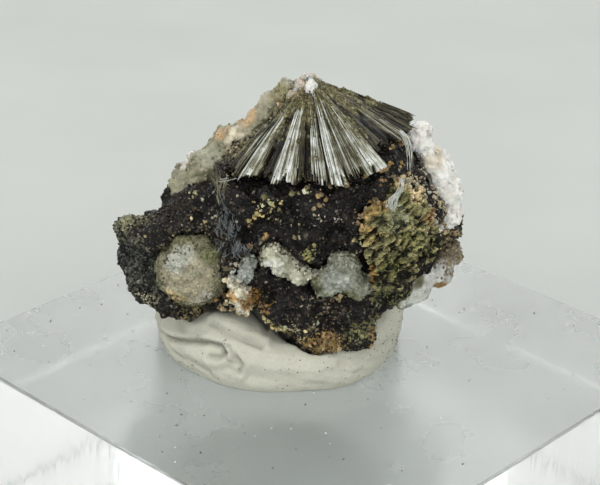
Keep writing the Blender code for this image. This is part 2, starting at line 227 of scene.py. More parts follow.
block_bm = bmesh.new()
bmesh.ops.create_cube(block_bm, size=1)
bmesh.ops.scale(block_bm, vec=(BLOCK_SIDE * MM, BLOCK_SIDE * MM, BLOCK_TOP), verts=block_bm.verts)
bmesh.ops.bevel(block_bm, geom=block_bm.edges[:], offset=BLOCK_EDGE * MM, segments=2, profile=0.5, affect="EDGES")
place = Matrix.Translation((0, 0, BLOCK_TOP / 2)) @ Matrix.Rotation(math.radians(BLOCK_TURN), 4, "Z")
block_bm.transform(place)
block_mesh = mesh_of(block_bm, "clear_block")
block = add_mesh("clear_block", block_mesh, acrylic, sawn, clear)
# The top is wiped, the underside clear and all the rest sawn
for face in block_mesh.polygons:
    face.material_index = 0 if face.normal.z > 0.5 else 2 if face.normal.z < -0.5 else 1
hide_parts("display_block")
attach(block, "root")

# Dust on the block
# Dark and pale specks lie on the top face, as on any block that has stood on a shelf.
# A node tree strews small angular grains over a surface: their size, turn and brightness are random.


def scatter_tree():
    """Grains strewn on a skin where its mask is high, each with its own size, turn and brightness."""
    tree = bpy.data.node_groups.new("scattered grains", "GeometryNodeTree")
    sockets = (
        ("Geometry", "NodeSocketGeometry"), ("Mask", "NodeSocketString"), ("Density", "NodeSocketFloat"),
        ("Smallest", "NodeSocketVector"), ("Largest", "NodeSocketVector"), ("Seed", "NodeSocketInt"),
        ("Material", "NodeSocketMaterial"),
    )
    for name, kind in sockets:
        tree.interface.new_socket(name, in_out="INPUT", socket_type=kind)
    tree.interface.new_socket("Geometry", in_out="OUTPUT", socket_type="NodeSocketGeometry")
    given = add(tree, "NodeGroupInput").outputs
    mask = add(tree, "GeometryNodeInputNamedAttribute", {"Name": given["Mask"]}, data_type="FLOAT")
    density = add(tree, "ShaderNodeMath", {0: mask, 1: given["Density"]}, operation="MULTIPLY")
    points = add(
        tree, "GeometryNodeDistributePointsOnFaces",
        {"Mesh": given["Geometry"], "Density": density, "Seed": given["Seed"]},
    )
    grain = add(tree, "GeometryNodeMeshIcoSphere", {"Radius": 1.0, "Subdivisions": 1})
    size = add(
        tree, "FunctionNodeRandomValue",
        {0: given["Smallest"], 1: given["Largest"], "Seed": given["Seed"]}, data_type="FLOAT_VECTOR",
    )
    turn = add(
        tree, "FunctionNodeRandomValue", {0: (0, 0, 0), 1: (math.tau, math.tau, math.tau), "Seed": 5},
        data_type="FLOAT_VECTOR",
    )
    grains = add(
        tree, "GeometryNodeInstanceOnPoints",
        {"Points": points.outputs["Points"], "Instance": grain, "Rotation": turn, "Scale": size},
    )
    chance = add(tree, "FunctionNodeRandomValue", {2: 0.45, 3: 1.45, "Seed": 9}, data_type="FLOAT")
    lit = add(
        tree, "GeometryNodeStoreNamedAttribute",
        {"Geometry": grains, "Name": "light", "Value": chance.outputs[1]},
        data_type="FLOAT", domain="INSTANCE",
    )
    real = add(tree, "GeometryNodeRealizeInstances", {"Geometry": lit})
    finished = add(tree, "GeometryNodeSetMaterial", {"Geometry": real, "Material": given["Material"]})
    add(tree, "NodeGroupOutput", {"Geometry": finished})
    return tree


SCATTER = scatter_tree()


def run_nodes(name, mesh, tree, values):
    """Runs a node tree over a mesh and keeps what it makes as a mesh of its own."""
    carrier = bpy.data.objects.new(name, mesh)
    bpy.context.scene.collection.objects.link(carrier)
    nodes = carrier.modifiers.new("nodes", "NODES")
    nodes.node_group = tree
    for key, value in values.items():
        nodes[tree.interface.items_tree[key].identifier] = value
    graph = bpy.context.evaluated_depsgraph_get()
    made = bpy.data.meshes.new_from_object(carrier.evaluated_get(graph))
    bpy.data.objects.remove(carrier)
    made.name = name
    return made


def scatter(name, ground, mask, per_square_mm, smallest, largest, material, seed, colour=None):
    """Strews grains over the ground where the mask says.

    Sizes are radii in mm, and a colour takes the place of the ground's own tint.
    """
    bed = ground.data.copy()
    if colour:
        flat = np.tile(linear(colour), len(bed.vertices)).astype(np.float32)
        bed.attributes["tint"].data.foreach_set("color", flat)
    values = {
        "Mask": mask, "Density": per_square_mm / MM**2, "Seed": seed, "Material": material,
        "Smallest": [smallest * MM] * 3, "Largest": [largest * MM] * 3,
    }
    grains = add_mesh(name, run_nodes(name, bed, SCATTER, values), material)
    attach(grains, "root")


def mark(obj, name, values):
    """Stores one number for each point of a mesh."""
    obj.data.attributes.new(name, "FLOAT", "POINT").data.foreach_set("value", np.asarray(values, dtype=np.float32))


def tint(obj, colours):
    """Stores one colour for each point of a mesh: a hex colour for all, or an array."""
    if isinstance(colours, str):
        colours = np.tile(linear(colours)[:3], (len(obj.data.vertices), 1))
    full = np.hstack([colours, np.ones((len(colours), 1))])
    obj.data.attributes.new("tint", "FLOAT_COLOR", "POINT").data.foreach_set("color", full.ravel())


def stored(tree, name, output="Fac"):
    """What a mesh's points hold under this name."""
    return add(tree, "ShaderNodeAttribute", attribute_name=name).outputs[output]


def mineral(
    name, grain, spread, roughness, depth=0.0, glow=0.0, clear=0.0,
    relief=0.5, specular=0.5, stretch=1.0, hues=0.35,
):
    """A mineral in its own tint and brightness, mottled by grains of this size in mm.

    Spread is how far the grains differ, depth how far light enters in mm, glow how much of it
    comes back and clear how much goes straight through. Stretch below 1 draws the grains out, and
    hues is how far their colours differ.
    """
    material, tree, shader = new_material(
        name, Roughness=roughness, IOR=1.54, Specular_IOR_Level=specular, Transmission_Weight=clear,
        Subsurface_Weight=glow, Subsurface_Scale=depth * MM, Subsurface_Radius=(1.0, 0.96, 0.9),
    )
    where = add(tree, "ShaderNodeTexCoord").outputs["Object"]
    drawn = add(
        tree, "ShaderNodeMapping",
        {"Vector": where, "Rotation": (0, math.radians(33), 0), "Scale": (stretch, 1, 1)},
    )
    mottle = clouds(tree, drawn, grain, 5.0, 0.7)
    uneven = span(tree, mottle, 0.3, 0.7, 1 - spread, 1 + spread)
    light = add(tree, "ShaderNodeMath", {0: stored(tree, "light"), 1: uneven}, operation="MULTIPLY")
    own = stored(tree, "tint", "Color")
    colour = add(tree, "ShaderNodeVectorMath", {0: own, "Scale": light}, operation="SCALE")
    hue = add(
        tree, "ShaderNodeVectorMath", {0: mottle.outputs["Color"], 1: [hues] * 3, 2: [1 - hues / 2] * 3},
        operation="MULTIPLY_ADD",
    )
    colour = add(tree, "ShaderNodeVectorMath", {0: colour, 1: hue}, operation="MULTIPLY")
    colour = add(tree, "ShaderNodeVectorMath", {0: colour, 1: (0.92, 0.92, 0.91)}, operation="MINIMUM")
    tree.links.new(colour.outputs[0], shader.inputs["Base Color"])
    crystals = add(tree, "ShaderNodeTexVoronoi", {"Vector": where, "Scale": 1 / (0.8 * grain * MM)})
    bump = add(
        tree, "ShaderNodeBump", {"Height": crystals.outputs["Distance"], "Strength": relief, "Distance": 0.05 * MM},
        invert=True,
    )
    tree.links.new(bump.outputs[0], shader.inputs["Normal"])
    return material


# Shelf dust: matt specks that stay dark or pale against the bright plastic
speck = mineral("shelf dust", 0.1, 0.3, 0.8)
top_bm = bmesh.new()
bmesh.ops.create_grid(
    top_bm, x_segments=30, y_segments=30, size=15.2 * MM,
    matrix=Matrix.Translation((0, 0, BLOCK_TOP + 0.01 * MM)) @ Matrix.Rotation(math.radians(BLOCK_TURN), 4, "Z"),
)
top_mesh = mesh_of(top_bm, "block top")
PUTTY_CENTRE = (-2.4, 1.9)
CLEAN_RADIUS = 7.8  # mm round the putty's centre
bare = [math.dist(vert.co.xy / MM, PUTTY_CENTRE) > CLEAN_RADIUS for vert in top_mesh.vertices]
for name, colour, density, seed in (("dark_dust", "4A4840", 0.16, 4), ("pale_dust", "E6E8E4", 0.12, 6)):
    block_top = bpy.data.objects.new("block_top", top_mesh.copy())
    mark(block_top, "dust", bare)
    tint(block_top, colour)
    scatter(name, block_top, "dust", density, 0.015, 0.07, speck, seed)
    bpy.data.objects.remove(block_top)

# Mounting putty
# A pea of white mineral putty, kneaded between two fingers and pressed down with the stone on it.
# It keeps a rolled fold at the left, a few creases, and dark grit picked up from the work table.


def skin_of(name, node, voxel, material, soften=0):
    """A fine closed skin that takes over a CAD node's shape. The voxel is in millimetres."""
    source = bmesh.new()
    source.from_mesh(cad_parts[node].data)
    bmesh.ops.remove_doubles(source, verts=source.verts, dist=0.001 * MM)
    obj = add_mesh(name, mesh_of(source, name), material)
    remesh = obj.modifiers.new("remesh", "REMESH")
    remesh.mode = "VOXEL"
    remesh.voxel_size = voxel * MM
    if soften:
        smooth = obj.modifiers.new("soften", "SMOOTH")
        smooth.factor = 0.5
        smooth.iterations = soften
    graph = bpy.context.evaluated_depsgraph_get()
    fine = bpy.data.meshes.new_from_object(obj.evaluated_get(graph))
    obj.modifiers.clear()
    obj.data = fine
    fine.shade_smooth()
    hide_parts(node)
    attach(obj, "root")
    return obj, places_of(obj)


def places_of(obj):
    """Every point of a mesh, in millimetres from the middle of the block's top face."""
    flat = np.empty(3 * len(obj.data.vertices))
    obj.data.vertices.foreach_get("co", flat)
    return in_mm(flat.reshape(-1, 3))


def move_to(obj, places):
    """Moves every point of a mesh to its own place in those millimetres."""
    obj.data.vertices.foreach_set("co", (places * MM + above_block(0, 0, 0)).ravel())


def push(obj, shift):
    """Moves every point along its normal by its own number of millimetres."""
    normals = np.empty(3 * len(obj.data.vertices))
    obj.data.vertex_normals.foreach_get("vector", normals)
    places = places_of(obj) + normals.reshape(-1, 3) * np.asarray(shift)[:, None]
    move_to(obj, places)
    obj.data.update()


def waves(places, size, octaves=3, seed=0):
    """Smooth noise of about -1 to 1 at each place, with swells of this size in millimetres."""
    return np.array([noise.fractal(place, 1.0, 2.0, octaves) for place in places / size + 7.3 * seed])


def cells(places, size, seed=0):
    """How far each place is from the nearest of many seeds: 0 on a seed, about 1 halfway between."""
    return np.array([noise.voronoi(place)[0][0] for place in places / size + 3.7 * seed])


def patches(places, spots, warp=0.35):
    """How much each soft-edged patch covers each place. A patch is a centre, a radius in mm and a strength."""
    wander = np.stack([waves(places, 0.9, 2, seed=40 + axis) for axis in range(3)], 1) * warp
    away = [np.linalg.norm(places + wander - np.array(centre), axis=1) / radius for centre, radius, strength in spots]
    return [strength * np.clip(1.7 - 1.7 * far, 0, 1) for far, (centre, radius, strength) in zip(away, spots)]


def paint(places, base, spots, warp=0.35):
    """The base colour with patches laid over it, and how much of a patch is at each place."""
    colours = np.tile(linear(base)[:3], (len(places), 1))
    most = np.zeros(len(places))
    for amount, spot in zip(patches(places, [spot[:3] for spot in spots], warp), spots):
        colours += np.clip(2 * amount, 0, 1)[:, None] * (np.array(linear(spot[3])[:3]) - colours)
        most = np.maximum(most, amount)
    return colours, most


def from_line(points, line):
    """Distance of each point from a line of straight stretches, and on which side it lies in a plane."""
    best = np.full(len(points), 1e9)
    side = np.zeros(len(points))
    for start, end in zip(line, line[1:]):
        start, run = np.array(start), np.array(end) - np.array(start)
        share = np.clip((points - start) @ run / (run @ run), 0, 1)
        away = points - start - share[:, None] * run
        distance = np.linalg.norm(away, axis=1)
        nearer = distance < best
        best[nearer] = distance[nearer]
        side[nearer] = run[0] * away[nearer, 1] - run[1] * away[nearer, 0]
    return best, np.sign(side)


PUTTY_RADIUS = 7.3  # mm, at which its side is unrolled
UNDER_STONE = 4.8  # mm from its centre, where the stone covers it
# Folds round the putty: points (degrees round from +X, mm up), then depth and width in mm
PUTTY_FOLDS = (
    (((203, 1.3), (214, 1.6), (226, 2.1), (236, 2.5), (243, 2.55), (246, 2.2)), 0.42, 0.13),
    (((246, 2.2), (243, 1.85), (238, 1.75)), 0.28, 0.12),
    (((247, 2.6), (251, 2.2), (254, 1.7), (253, 1.2)), 0.24, 0.11),
    (((234, 3.5), (243, 3.4), (252, 3.1), (262, 2.7)), 0.22, 0.12),
    (((212, 2.6), (222, 2.4), (231, 2.5)), 0.12, 0.2),
    (((214, 0.8), (226, 0.95), (238, 0.7)), 0.08, 0.2),
    (((300, 1.6), (318, 1.9), (335, 1.6)), 0.1, 0.3),
    (((20, 2.0), (50, 2.4), (75, 1.9)), 0.25, 0.3),
    (((110, 1.5), (135, 2.2), (160, 2.1), (180, 1.4)), 0.3, 0.3),
)

# Kneaded putty: off-white and matt, with fine drawn-out lines, and painted grey shade in its folds
kneaded = mineral("kneaded white putty", 0.12, 0.05, 0.8, depth=0.3, glow=0.1, relief=0.25)
FOOT_HEIGHT = 0.35  # mm above the block
FOOT_PRESSED = 0.13  # mm that the foot is pressed down
putty, places = skin_of("putty_lump", "mounting_putty", 0.13, kneaded, soften=5)
angles = np.degrees(np.arctan2(places[:, 1] - PUTTY_CENTRE[1], places[:, 0] - PUTTY_CENTRE[0])) % 360
unrolled = np.stack([np.radians(angles) * PUTTY_RADIUS, places[:, 2]], 1)
drawn = unrolled @ np.array(((0.35, 0.5), (0.5, 2.2)))
lines = waves(np.stack([drawn[:, 0], drawn[:, 1], 0 * angles], 1), 0.7, 4, seed=2)
shift = 0.1 * waves(places, 2.6, 3, seed=1) + 0.05 * lines + 0.03 * waves(places, 0.3, 3, seed=3)
crease_shade = np.zeros(len(places))
for line, depth, width in PUTTY_FOLDS:
    distance, side = from_line(unrolled, [(math.radians(a) * PUTTY_RADIUS, z) for a, z in line])
    groove = np.exp(-((distance / width) ** 2))
    shift -= depth * groove
    shift += 0.6 * depth * np.exp(-(((distance - 2.5 * width) / (2 * width)) ** 2)) * (side > 0)
    crease_shade += groove * depth
shift *= np.clip(places[:, 2] / 0.5, 0.15, 1)
push(putty, shift)
places = places_of(putty)
low = places[:, 2] < FOOT_HEIGHT
places[low, 2] = np.maximum(0.0, places[low, 2] - FOOT_PRESSED)
move_to(putty, places)
tint(putty, "C3C2B3")
# Painted shade: the putty is painted darker in its folds and creases, by how deep they are, with a faint random
# mottle
mark(putty, "light", 1.0 - 1.1 * crease_shade + 0.06 * waves(places, 1.2, 4, seed=4))
out = np.hypot(places[:, 0] - PUTTY_CENTRE[0], places[:, 1] - PUTTY_CENTRE[1]) > UNDER_STONE
crowd = np.clip(0.25 + 0.3 * places[:, 0], 0.12, 1.0) + 0.6 * (waves(places, 2.0, 2, seed=5) > 0.2)
mark(putty, "grit", out * (places[:, 2] > 0.3) * crowd)

# Dark grit: dull brown-black grains half sunk in the putty
grit = mineral("dark grit", 0.1, 0.4, 0.7)
scatter("putty_grit", putty, "grit", 3.4, 0.015, 0.055, grit, 11, "3A352B")

# Basalt matrix
# Dark, cavity-filled basalt, broken by hand: a rough skin of black and purplish grains with open vesicles.
# Alteration has left rust, green clay and cream zeolite grains in patches, mostly at its foot and right rim.

STONE_PATCHES = (  # centre, radius, strength and colour
    ((-1.9, -0.2, 17.3), 1.2, 1.00, "B9AE98"), ((-2.8, -0.9, 16.3), 1.0, 0.95, "8C845F"),
    ((-3.7, -1.4, 15.5), 1.0, 0.95, "9A9070"), ((-4.6, -2.0, 14.6), 1.0, 0.90, "857D5C"),
    ((-5.5, -2.6, 13.7), 1.0, 0.80, "6F6A50"),
    ((-7.4, -4.2, 7.0), 3.2, 0.55, "5C5A44"), ((-10.2, -2.0, 6.7), 3.4, 0.60, "595C52"),
    ((6.4, -0.8, 12.3), 1.2, 0.95, "C4B89A"), ((6.9, -0.6, 11.2), 1.1, 0.95, "C9BEA2"),
    ((7.2, -0.4, 10.0), 1.0, 0.90, "BFB292"), ((5.6, -0.9, 13.8), 1.4, 0.80, "7C7862"),
    ((6.2, -0.2, 13.2), 1.0, 0.90, "A89A86"), ((-11.2, -1.5, 8.9), 1.4, 0.85, "8E8C6E"),
    ((-9.9, -2.6, 4.4), 0.9, 0.55, "A8A58A"), ((-8.5, -2.8, 10.5), 1.7, 0.60, "3A302A"),
    ((-7.3, -3.9, 4.2), 1.5, 0.45, "857650"), ((-5.7, -4.4, 4.2), 0.8, 0.85, "C4A67A"),
    ((-3.8, -4.9, 5.7), 1.15, 1.00, "8C6A38"), ((-6.0, -4.6, 5.9), 0.7, 0.95, "9C7040"),
    ((0.5, -4.8, 2.8), 1.5, 0.85, "9E8152"), ((-0.9, -4.9, 3.0), 1.0, 0.70, "8F7648"),
    ((2.5, -4.0, 3.8), 1.5, 0.75, "7F8058"), ((3.2, -3.7, 2.9), 0.9, 0.80, "B59A66"),
    ((-3.3, -4.5, 4.1), 1.0, 0.75, "C5B983"), ((-2.3, -4.6, 3.5), 1.0, 0.75, "B0A46E"),
    ((-1.2, -4.8, 4.2), 1.2, 0.45, "BDB188"), ((0.4, -4.8, 5.4), 2.0, 0.16, "8B7A66"),
    ((2.0, -5.0, 7.6), 1.1, 0.60, "7E6B3C"), ((3.6, -4.2, 6.2), 1.5, 0.65, "6C6E46"),
    ((4.6, -3.2, 5.2), 1.2, 0.60, "6F7048"), ((-1.5, -5.3, 13.2), 0.8, 0.60, "8C8258"),
    ((0.8, -5.3, 12.9), 0.7, 0.35, "6E6444"), ((4.2, -3.6, 13.6), 1.0, 0.90, "BDA57C"),
    ((5.0, -3.2, 12.7), 1.1, 0.95, "D8C7A0"), ((5.9, -2.3, 11.3), 1.0, 0.95, "D9C9A4"),
    ((5.9, -2.4, 10.2), 0.8, 0.95, "B08A5C"), ((6.8, -1.6, 9.7), 1.0, 0.95, "DDD2B8"),
    ((7.3, -0.9, 8.6), 1.0, 0.75, "AE9670"), ((7.5, -0.5, 7.4), 1.3, 0.60, "74664C"),
    ((7.9, 0.9, 9.0), 1.0, 0.40, "4A3C34"), ((-5.3, -4.8, 9.4), 0.9, 0.40, "56626C"),
    ((0.0, 5.5, 6.0), 4.0, 0.22, "6B6350"), ((-3.5, 4.5, 9.5), 3.0, 0.28, "8A8468"),
    ((3.0, 4.5, 8.0), 2.6, 0.32, "8E7352"), ((-6.0, 3.5, 6.0), 2.4, 0.26, "5F6148"),
)

STONE_HORNS = (  # centre, radius and pull in mm, where the break left a corner standing out
    ((-10.6, -1.6, 8.0), 1.1, (-1.1, 0.0, 0.7)), ((-10.9, -2.0, 5.0), 1.0, (-0.5, 0.0, -0.2)),
)

# Broken basalt: a mosaic of 0.15 mm grains, nearly black, where the tinted ones crowd in the patches
basalt, tree, shader = new_material("broken vesicular basalt", Specular_IOR_Level=0.25)
where = add(tree, "ShaderNodeTexCoord").outputs["Object"]
wobble = clouds(tree, where, 0.25, 3.0)
bent = add(tree, "ShaderNodeVectorMath", {0: wobble.outputs["Color"], "Scale": 0.16 * MM}, operation="SCALE")
bent = add(tree, "ShaderNodeVectorMath", {0: where, 1: bent}, operation="ADD")
mosaic = add(tree, "ShaderNodeTexVoronoi", {"Vector": bent, "Scale": 1 / (0.15 * MM)})
chances = add(tree, "ShaderNodeSeparateColor", {0: mosaic.outputs["Color"]}).outputs
drift = span(tree, clouds(tree, where, 0.8, 5.0, 0.7), 0.3, 0.7, -0.25, 0.1)
chance = add(tree, "ShaderNodeMath", {0: chances[0], 1: drift}, operation="ADD")
chance = add(tree, "ShaderNodeMath", {0: chance, 1: stored(tree, "rich")}, operation="ADD")
tinted = span(tree, chance, 0.95, 1.05)
# The palest grains, the last few in a hundred, are partly pale minerals and partly painted glints
black = add(
    tree, "ShaderNodeValToRGB", {0: chances[1]},
    stops=((0.0, "060505"), (0.5, "110E0D"), (0.8, "241E1C"), (0.92, "3E3730"), (0.975, "5E584B"), (1.0, "A9A493")),
)
own = stored(tree, "tint", "Color")
bright = span(tree, chances[2], 0.0, 1.0, 0.35, 1.35)
own = add(tree, "ShaderNodeVectorMath", {0: own, "Scale": bright}, operation="SCALE")
grains = add(tree, "ShaderNodeMix", {0: tinted, 6: black, 7: own}, data_type="RGBA")
shaded = add(
    tree, "ShaderNodeVectorMath", {0: grains.outputs[2], "Scale": stored(tree, "light")}, operation="SCALE",
)
tree.links.new(shaded.outputs[0], shader.inputs["Base Color"])
gloss = span(tree, chances[1], 0.0, 1.0, 0.4, 0.95)
tree.links.new(gloss.outputs[0], shader.inputs["Roughness"])
facet = add(
    tree, "ShaderNodeBump", {"Height": mosaic.outputs["Distance"], "Strength": 0.8, "Distance": 0.07 * MM},
    invert=True,
)
tree.links.new(facet.outputs[0], shader.inputs["Normal"])

stone, places = skin_of("basalt_stone", "basalt_matrix", 0.115, basalt)
for centre, radius, pull in STONE_HORNS:
    share = np.exp(-(np.linalg.norm(places - np.array(centre), axis=1) / radius) ** 2)
    places = places + share[:, None] * np.array(pull)
move_to(stone, places)
crumbs = cells(places, 0.45, seed=1)
vesicles = np.clip(0.42 - cells(places, 1.6, seed=2), 0, 1)
rough = np.abs(waves(places, 0.5, 3, seed=4))
relief = 0.15 * waves(places, 1.1, 3, seed=3) + 0.16 * rough + 0.16 * (0.5 - crumbs) - 0.9 * vesicles
push(stone, relief)
places = places_of(stone)
colours, rich = paint(places, "7A6C50", STONE_PATCHES)
tint(stone, colours)
mark(stone, "rich", rich)
# Painted shade in the vesicles and hollows, and painted highlight on the crests: the brightness follows the relief
mark(stone, "light", np.clip(0.76 + 2.4 * relief, 0.13, 1.2))
clumps = np.clip(2.5 * waves(places, 0.9, 3, seed=6) + 0.1, 0, 1)
GRAINS_FROM = 1.5  # mm above the block, clear of the putty
standing = places[:, 2] > GRAINS_FROM
mark(stone, "crowd", standing * np.clip(1.1 * rich + 0.05 * clumps, 0, 1))
mark(stone, "anywhere", standing)

# Loose grains of the basalt
# Crystals and crumbs that stand out of its skin: in the patches' own colours, and black glassy ones all over.

# Altered crumbs: dull grains, each a little lighter or darker than its patch
crumb_stone = mineral("altered basalt crumbs", 0.12, 0.35, 0.65)
scatter("basalt_crumbs", stone, "crowd", 10.0, 0.02, 0.10, crumb_stone, 22)
scatter("basalt_fine_crumbs", stone, "crowd", 12.0, 0.02, 0.07, crumb_stone, 24)
# Pyroxene: black grains smooth enough to glint in the soft boxes
glassy = mineral("black pyroxene grains", 0.1, 0.3, 0.25)
scatter("basalt_black_grains", stone, "anywhere", 4.5, 0.04, 0.15, glassy, 21, "110E0E")

# Zeolite grains
# Small cream, ochre and green grains and heaps that grew in the open pores of the dark face and at its foot.
# A few stand alone, and the rest are heaps of small grains.

ZEOLITE_HEAPS = (  # middle, spread in mm, how many, their radius in mm, and colour
    ((-3.4, -5.1, 12.4), 0.00, 1, 0.21, "A89A5C"), ((-4.1, -5.0, 10.9), 0.12, 5, 0.12, "AFA06C"),
    ((-3.8, -5.0, 10.6), 0.13, 6, 0.09, "CDBE88"), ((-3.6, -5.0, 10.2), 0.14, 7, 0.09, "C9B67A"),
    ((-3.4, -5.0, 9.8), 0.14, 7, 0.11, "B59C66"), ((-4.3, -5.0, 9.6), 0.12, 6, 0.13, "9C7C4C"),
    ((-1.8, -5.0, 9.9), 0.13, 8, 0.09, "BFAE86"), ((-0.8, -5.0, 8.8), 0.30, 30, 0.09, "A9A56C"),
    ((-0.3, -5.2, 12.1), 0.22, 20, 0.10, "AE9468"), ((-0.2, -5.2, 12.7), 0.20, 16, 0.09, "BBA680"),
    ((-0.6, -5.2, 11.7), 0.10, 5, 0.08, "C8B086"), ((-1.5, -5.3, 13.3), 0.30, 26, 0.10, "9C9060"),
    ((-1.4, -5.2, 12.8), 0.06, 3, 0.11, "E6DFC2"), ((-0.4, -5.1, 11.1), 0.14, 9, 0.05, "E8DEC8"),
    ((0.7, -5.1, 10.9), 0.22, 12, 0.04, "D8D6C8"), ((-7.4, -3.9, 10.1), 0.00, 1, 0.16, "D8CCA4"),
    ((-6.9, -4.0, 10.1), 0.00, 1, 0.16, "DCD0A8"), ((-7.1, -3.9, 9.7), 0.08, 4, 0.08, "D2C49A"),
    ((-7.6, -3.5, 11.6), 0.25, 14, 0.08, "C9BE8C"), ((-3.9, -5.0, 11.5), 0.22, 11, 0.08, "CFC590"),
    ((-3.0, -5.0, 11.8), 0.25, 12, 0.08, "C8C088"), ((-2.5, -5.0, 11.4), 0.22, 9, 0.08, "CFC590"),
    ((-0.9, -4.8, 4.4), 0.22, 9, 0.10, "DDD3B0"), ((-1.8, -4.7, 4.0), 0.30, 14, 0.10, "D8CFA8"),
    ((-0.1, -4.8, 6.4), 0.22, 9, 0.11, "E6E0CC"), ((0.9, -4.6, 5.9), 0.18, 8, 0.11, "C8B084"),
    ((-2.6, -4.6, 3.7), 0.32, 18, 0.10, "CDBE84"), ((-3.4, -4.5, 4.2), 0.32, 18, 0.09, "D9CFA2"),
    ((0.5, -4.9, 2.8), 0.50, 34, 0.10, "A58A5C"), ((2.2, -4.3, 3.6), 0.50, 26, 0.09, "8F8D62"),
    ((-5.8, -4.4, 4.3), 0.28, 16, 0.09, "D0B488"), ((1.2, -5.2, 8.2), 0.25, 8, 0.07, "C9BE94"),
    ((1.6, -5.3, 9.6), 0.30, 9, 0.07, "B9B07E"), ((-9.4, -3.0, 8.6), 0.50, 12, 0.07, "9C9A74"),
    ((-6.3, -4.3, 10.8), 0.50, 12, 0.06, "B0A684"), ((-2.2, -5.2, 10.8), 0.60, 12, 0.06, "A99A72"),
)


def ground_of(obj):
    """A tree of a mesh's faces, to find its nearest point."""
    return BVHTree.FromPolygons([v.co for v in obj.data.vertices], [p.vertices for p in obj.data.polygons])


GRAIN_SIZES = (0.5, 0.65, 0.8, 1.0, 1.4)  # times a heap's radius


def settled(ground, middle, spread, number, radius, colour, dice):
    """The grains of one heap, set on the ground round its middle: place, radius, colour and brightness."""
    grains = []
    for index in range(number):
        away = Vector([dice.gauss(0, 0.75 * spread) for axis in range(3)])
        spot, normal, face, distance = ground.find_nearest(above_block(*(Vector(middle) + away)))
        size = radius * dice.choice(GRAIN_SIZES) * MM
        grains.append((spot + normal * size * dice.uniform(-0.2, 0.5), size, colour, dice.uniform(0.3, 1.05)))
    return grains


def heaps(name, table, grounds, share, dice, material, rough=0.5):
    """Heaps of angular grains as one mesh, with one grain in share of each heap on each ground."""
    bm = bmesh.new()
    colours, lights = [], []
    bend = random.Random(7)
    grains = []
    for middle, spread, number, radius, colour in table:
        for ground in grounds:
            grains += settled(ground, middle, spread, number // share, radius, colour, dice)
    for middle, radius, colour, bright in grains:
        made = bmesh.ops.create_icosphere(bm, subdivisions=1, radius=radius, matrix=Matrix.Translation(middle))
        for vert in made["verts"]:
            vert.co += (vert.co - middle) * bend.uniform(-rough, rough)
        warm = bend.uniform(-0.15, 0.15)
        own = np.array(linear(colour)[:3]) * (1 + warm, 1, 1 - warm)
        colours += [own] * len(made["verts"])
        lights += [bright] * len(made["verts"])
    obj = add_mesh(name, mesh_of(bm, name), material)
    tint(obj, np.array(colours))
    mark(obj, "light", lights)
    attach(obj, "root")


# Cream zeolite: half glossy, with a little light coming back from inside
zeolite = mineral("zeolite grains", 0.14, 0.25, 0.5, depth=0.1, glow=0.2)
stone_ground = ground_of(stone)
heaps("zeolite_grains", ZEOLITE_HEAPS, (stone_ground,), 1, random.Random(3), zeolite)

# Ferrierite fan
# A broken spherulite: hundreds of silky needles that radiate from one point, intergrown side by side.
# White bundles stand between sunken gaps painted nearly black, partly the dark stone and partly painted shadow, and
# olive clay dust fills the pores near the point.

FAN_APEX = Vector((-1.2, -0.6, 17.8))
FAN_RIM = (
    (-5.8, -3.6, 12.9), (-4.3, -4.9, 12.8), (-1.5, -5.5, 13.2), (0.7, -5.5, 13.2),
    (2.9, -4.9, 13.6), (4.3, -3.2, 14.1), (4.9, -0.9, 14.4), (4.7, 0.9, 14.9),
)
# Sunken bundles, below zero height, have a low whiteness: partly their own dull tone, partly painted shadow in the
# gaps
# Bundles: start and end along the rim, height in mm, length, whiteness, needle width in mm, first bare share
FAN_BUNDLES = (
    (0.000, 0.050, 0.05, 0.93, 0.42, 0.16, 0.45), (0.050, 0.090, 0.16, 0.97, 0.62, 0.20, 0.40),
    (0.092, 0.152, 0.32, 0.97, 0.84, 0.26, 0.42), (0.152, 0.208, -0.34, 0.92, 0.12, 0.09, 0.40),
    (0.208, 0.262, 0.36, 1.00, 0.88, 0.12, 0.30), (0.262, 0.290, 0.12, 0.97, 0.50, 0.08, 0.35),
    (0.290, 0.326, -0.34, 0.93, 0.10, 0.08, 0.35), (0.326, 0.348, 0.30, 0.99, 0.90, 0.12, 0.28),
    (0.348, 0.380, 0.22, 0.98, 0.82, 0.10, 0.34), (0.380, 0.397, -0.20, 0.90, 0.16, 0.10, 0.30),
    (0.397, 0.450, 0.42, 1.01, 0.98, 0.13, 0.24), (0.453, 0.475, 0.40, 0.96, 0.55, 0.30, 0.22),
    (0.475, 0.545, 0.50, 0.96, 0.70, 0.90, 0.24), (0.545, 0.562, 0.52, 0.94, 1.00, 0.20, 0.30),
    (0.562, 0.610, 0.00, 0.84, 0.34, 0.14, 0.40), (0.610, 0.655, 0.06, 0.80, 0.40, 0.50, 0.45),
    (0.655, 0.770, -0.38, 0.86, 0.08, 0.12, 0.35), (0.770, 0.835, 0.12, 0.95, 0.66, 0.22, 0.30),
    (0.835, 0.870, -0.06, 0.93, 0.20, 0.12, 0.35), (0.870, 0.900, 0.22, 0.98, 0.50, 0.14, 0.40),
    (0.900, 0.935, 0.10, 0.97, 0.16, 0.12, 0.40), (0.935, 1.000, 0.26, 1.00, 0.40, 0.20, 0.60),
)
FAN_COLUMNS = 1000  # along the rim
FAN_STATIONS = 44  # from the point to the rim
FAN_THICKNESS = 0.9  # mm
FAN_ROOT = (-1.0, 0.8, 15.2)  # a point inside the stone, where the underside closes
# Painted shadow: where no needle lies, the fan is painted nearly black over the dark stone below
GAP_LIFT, GAP_SHADED_WHITENESS, GAP_REACH = -0.46, 0.04, 0.86  # where no needle lies: mm, whiteness, length
FELT_SHARE = 0.97  # where along the rim a felt of dust runs down the fan


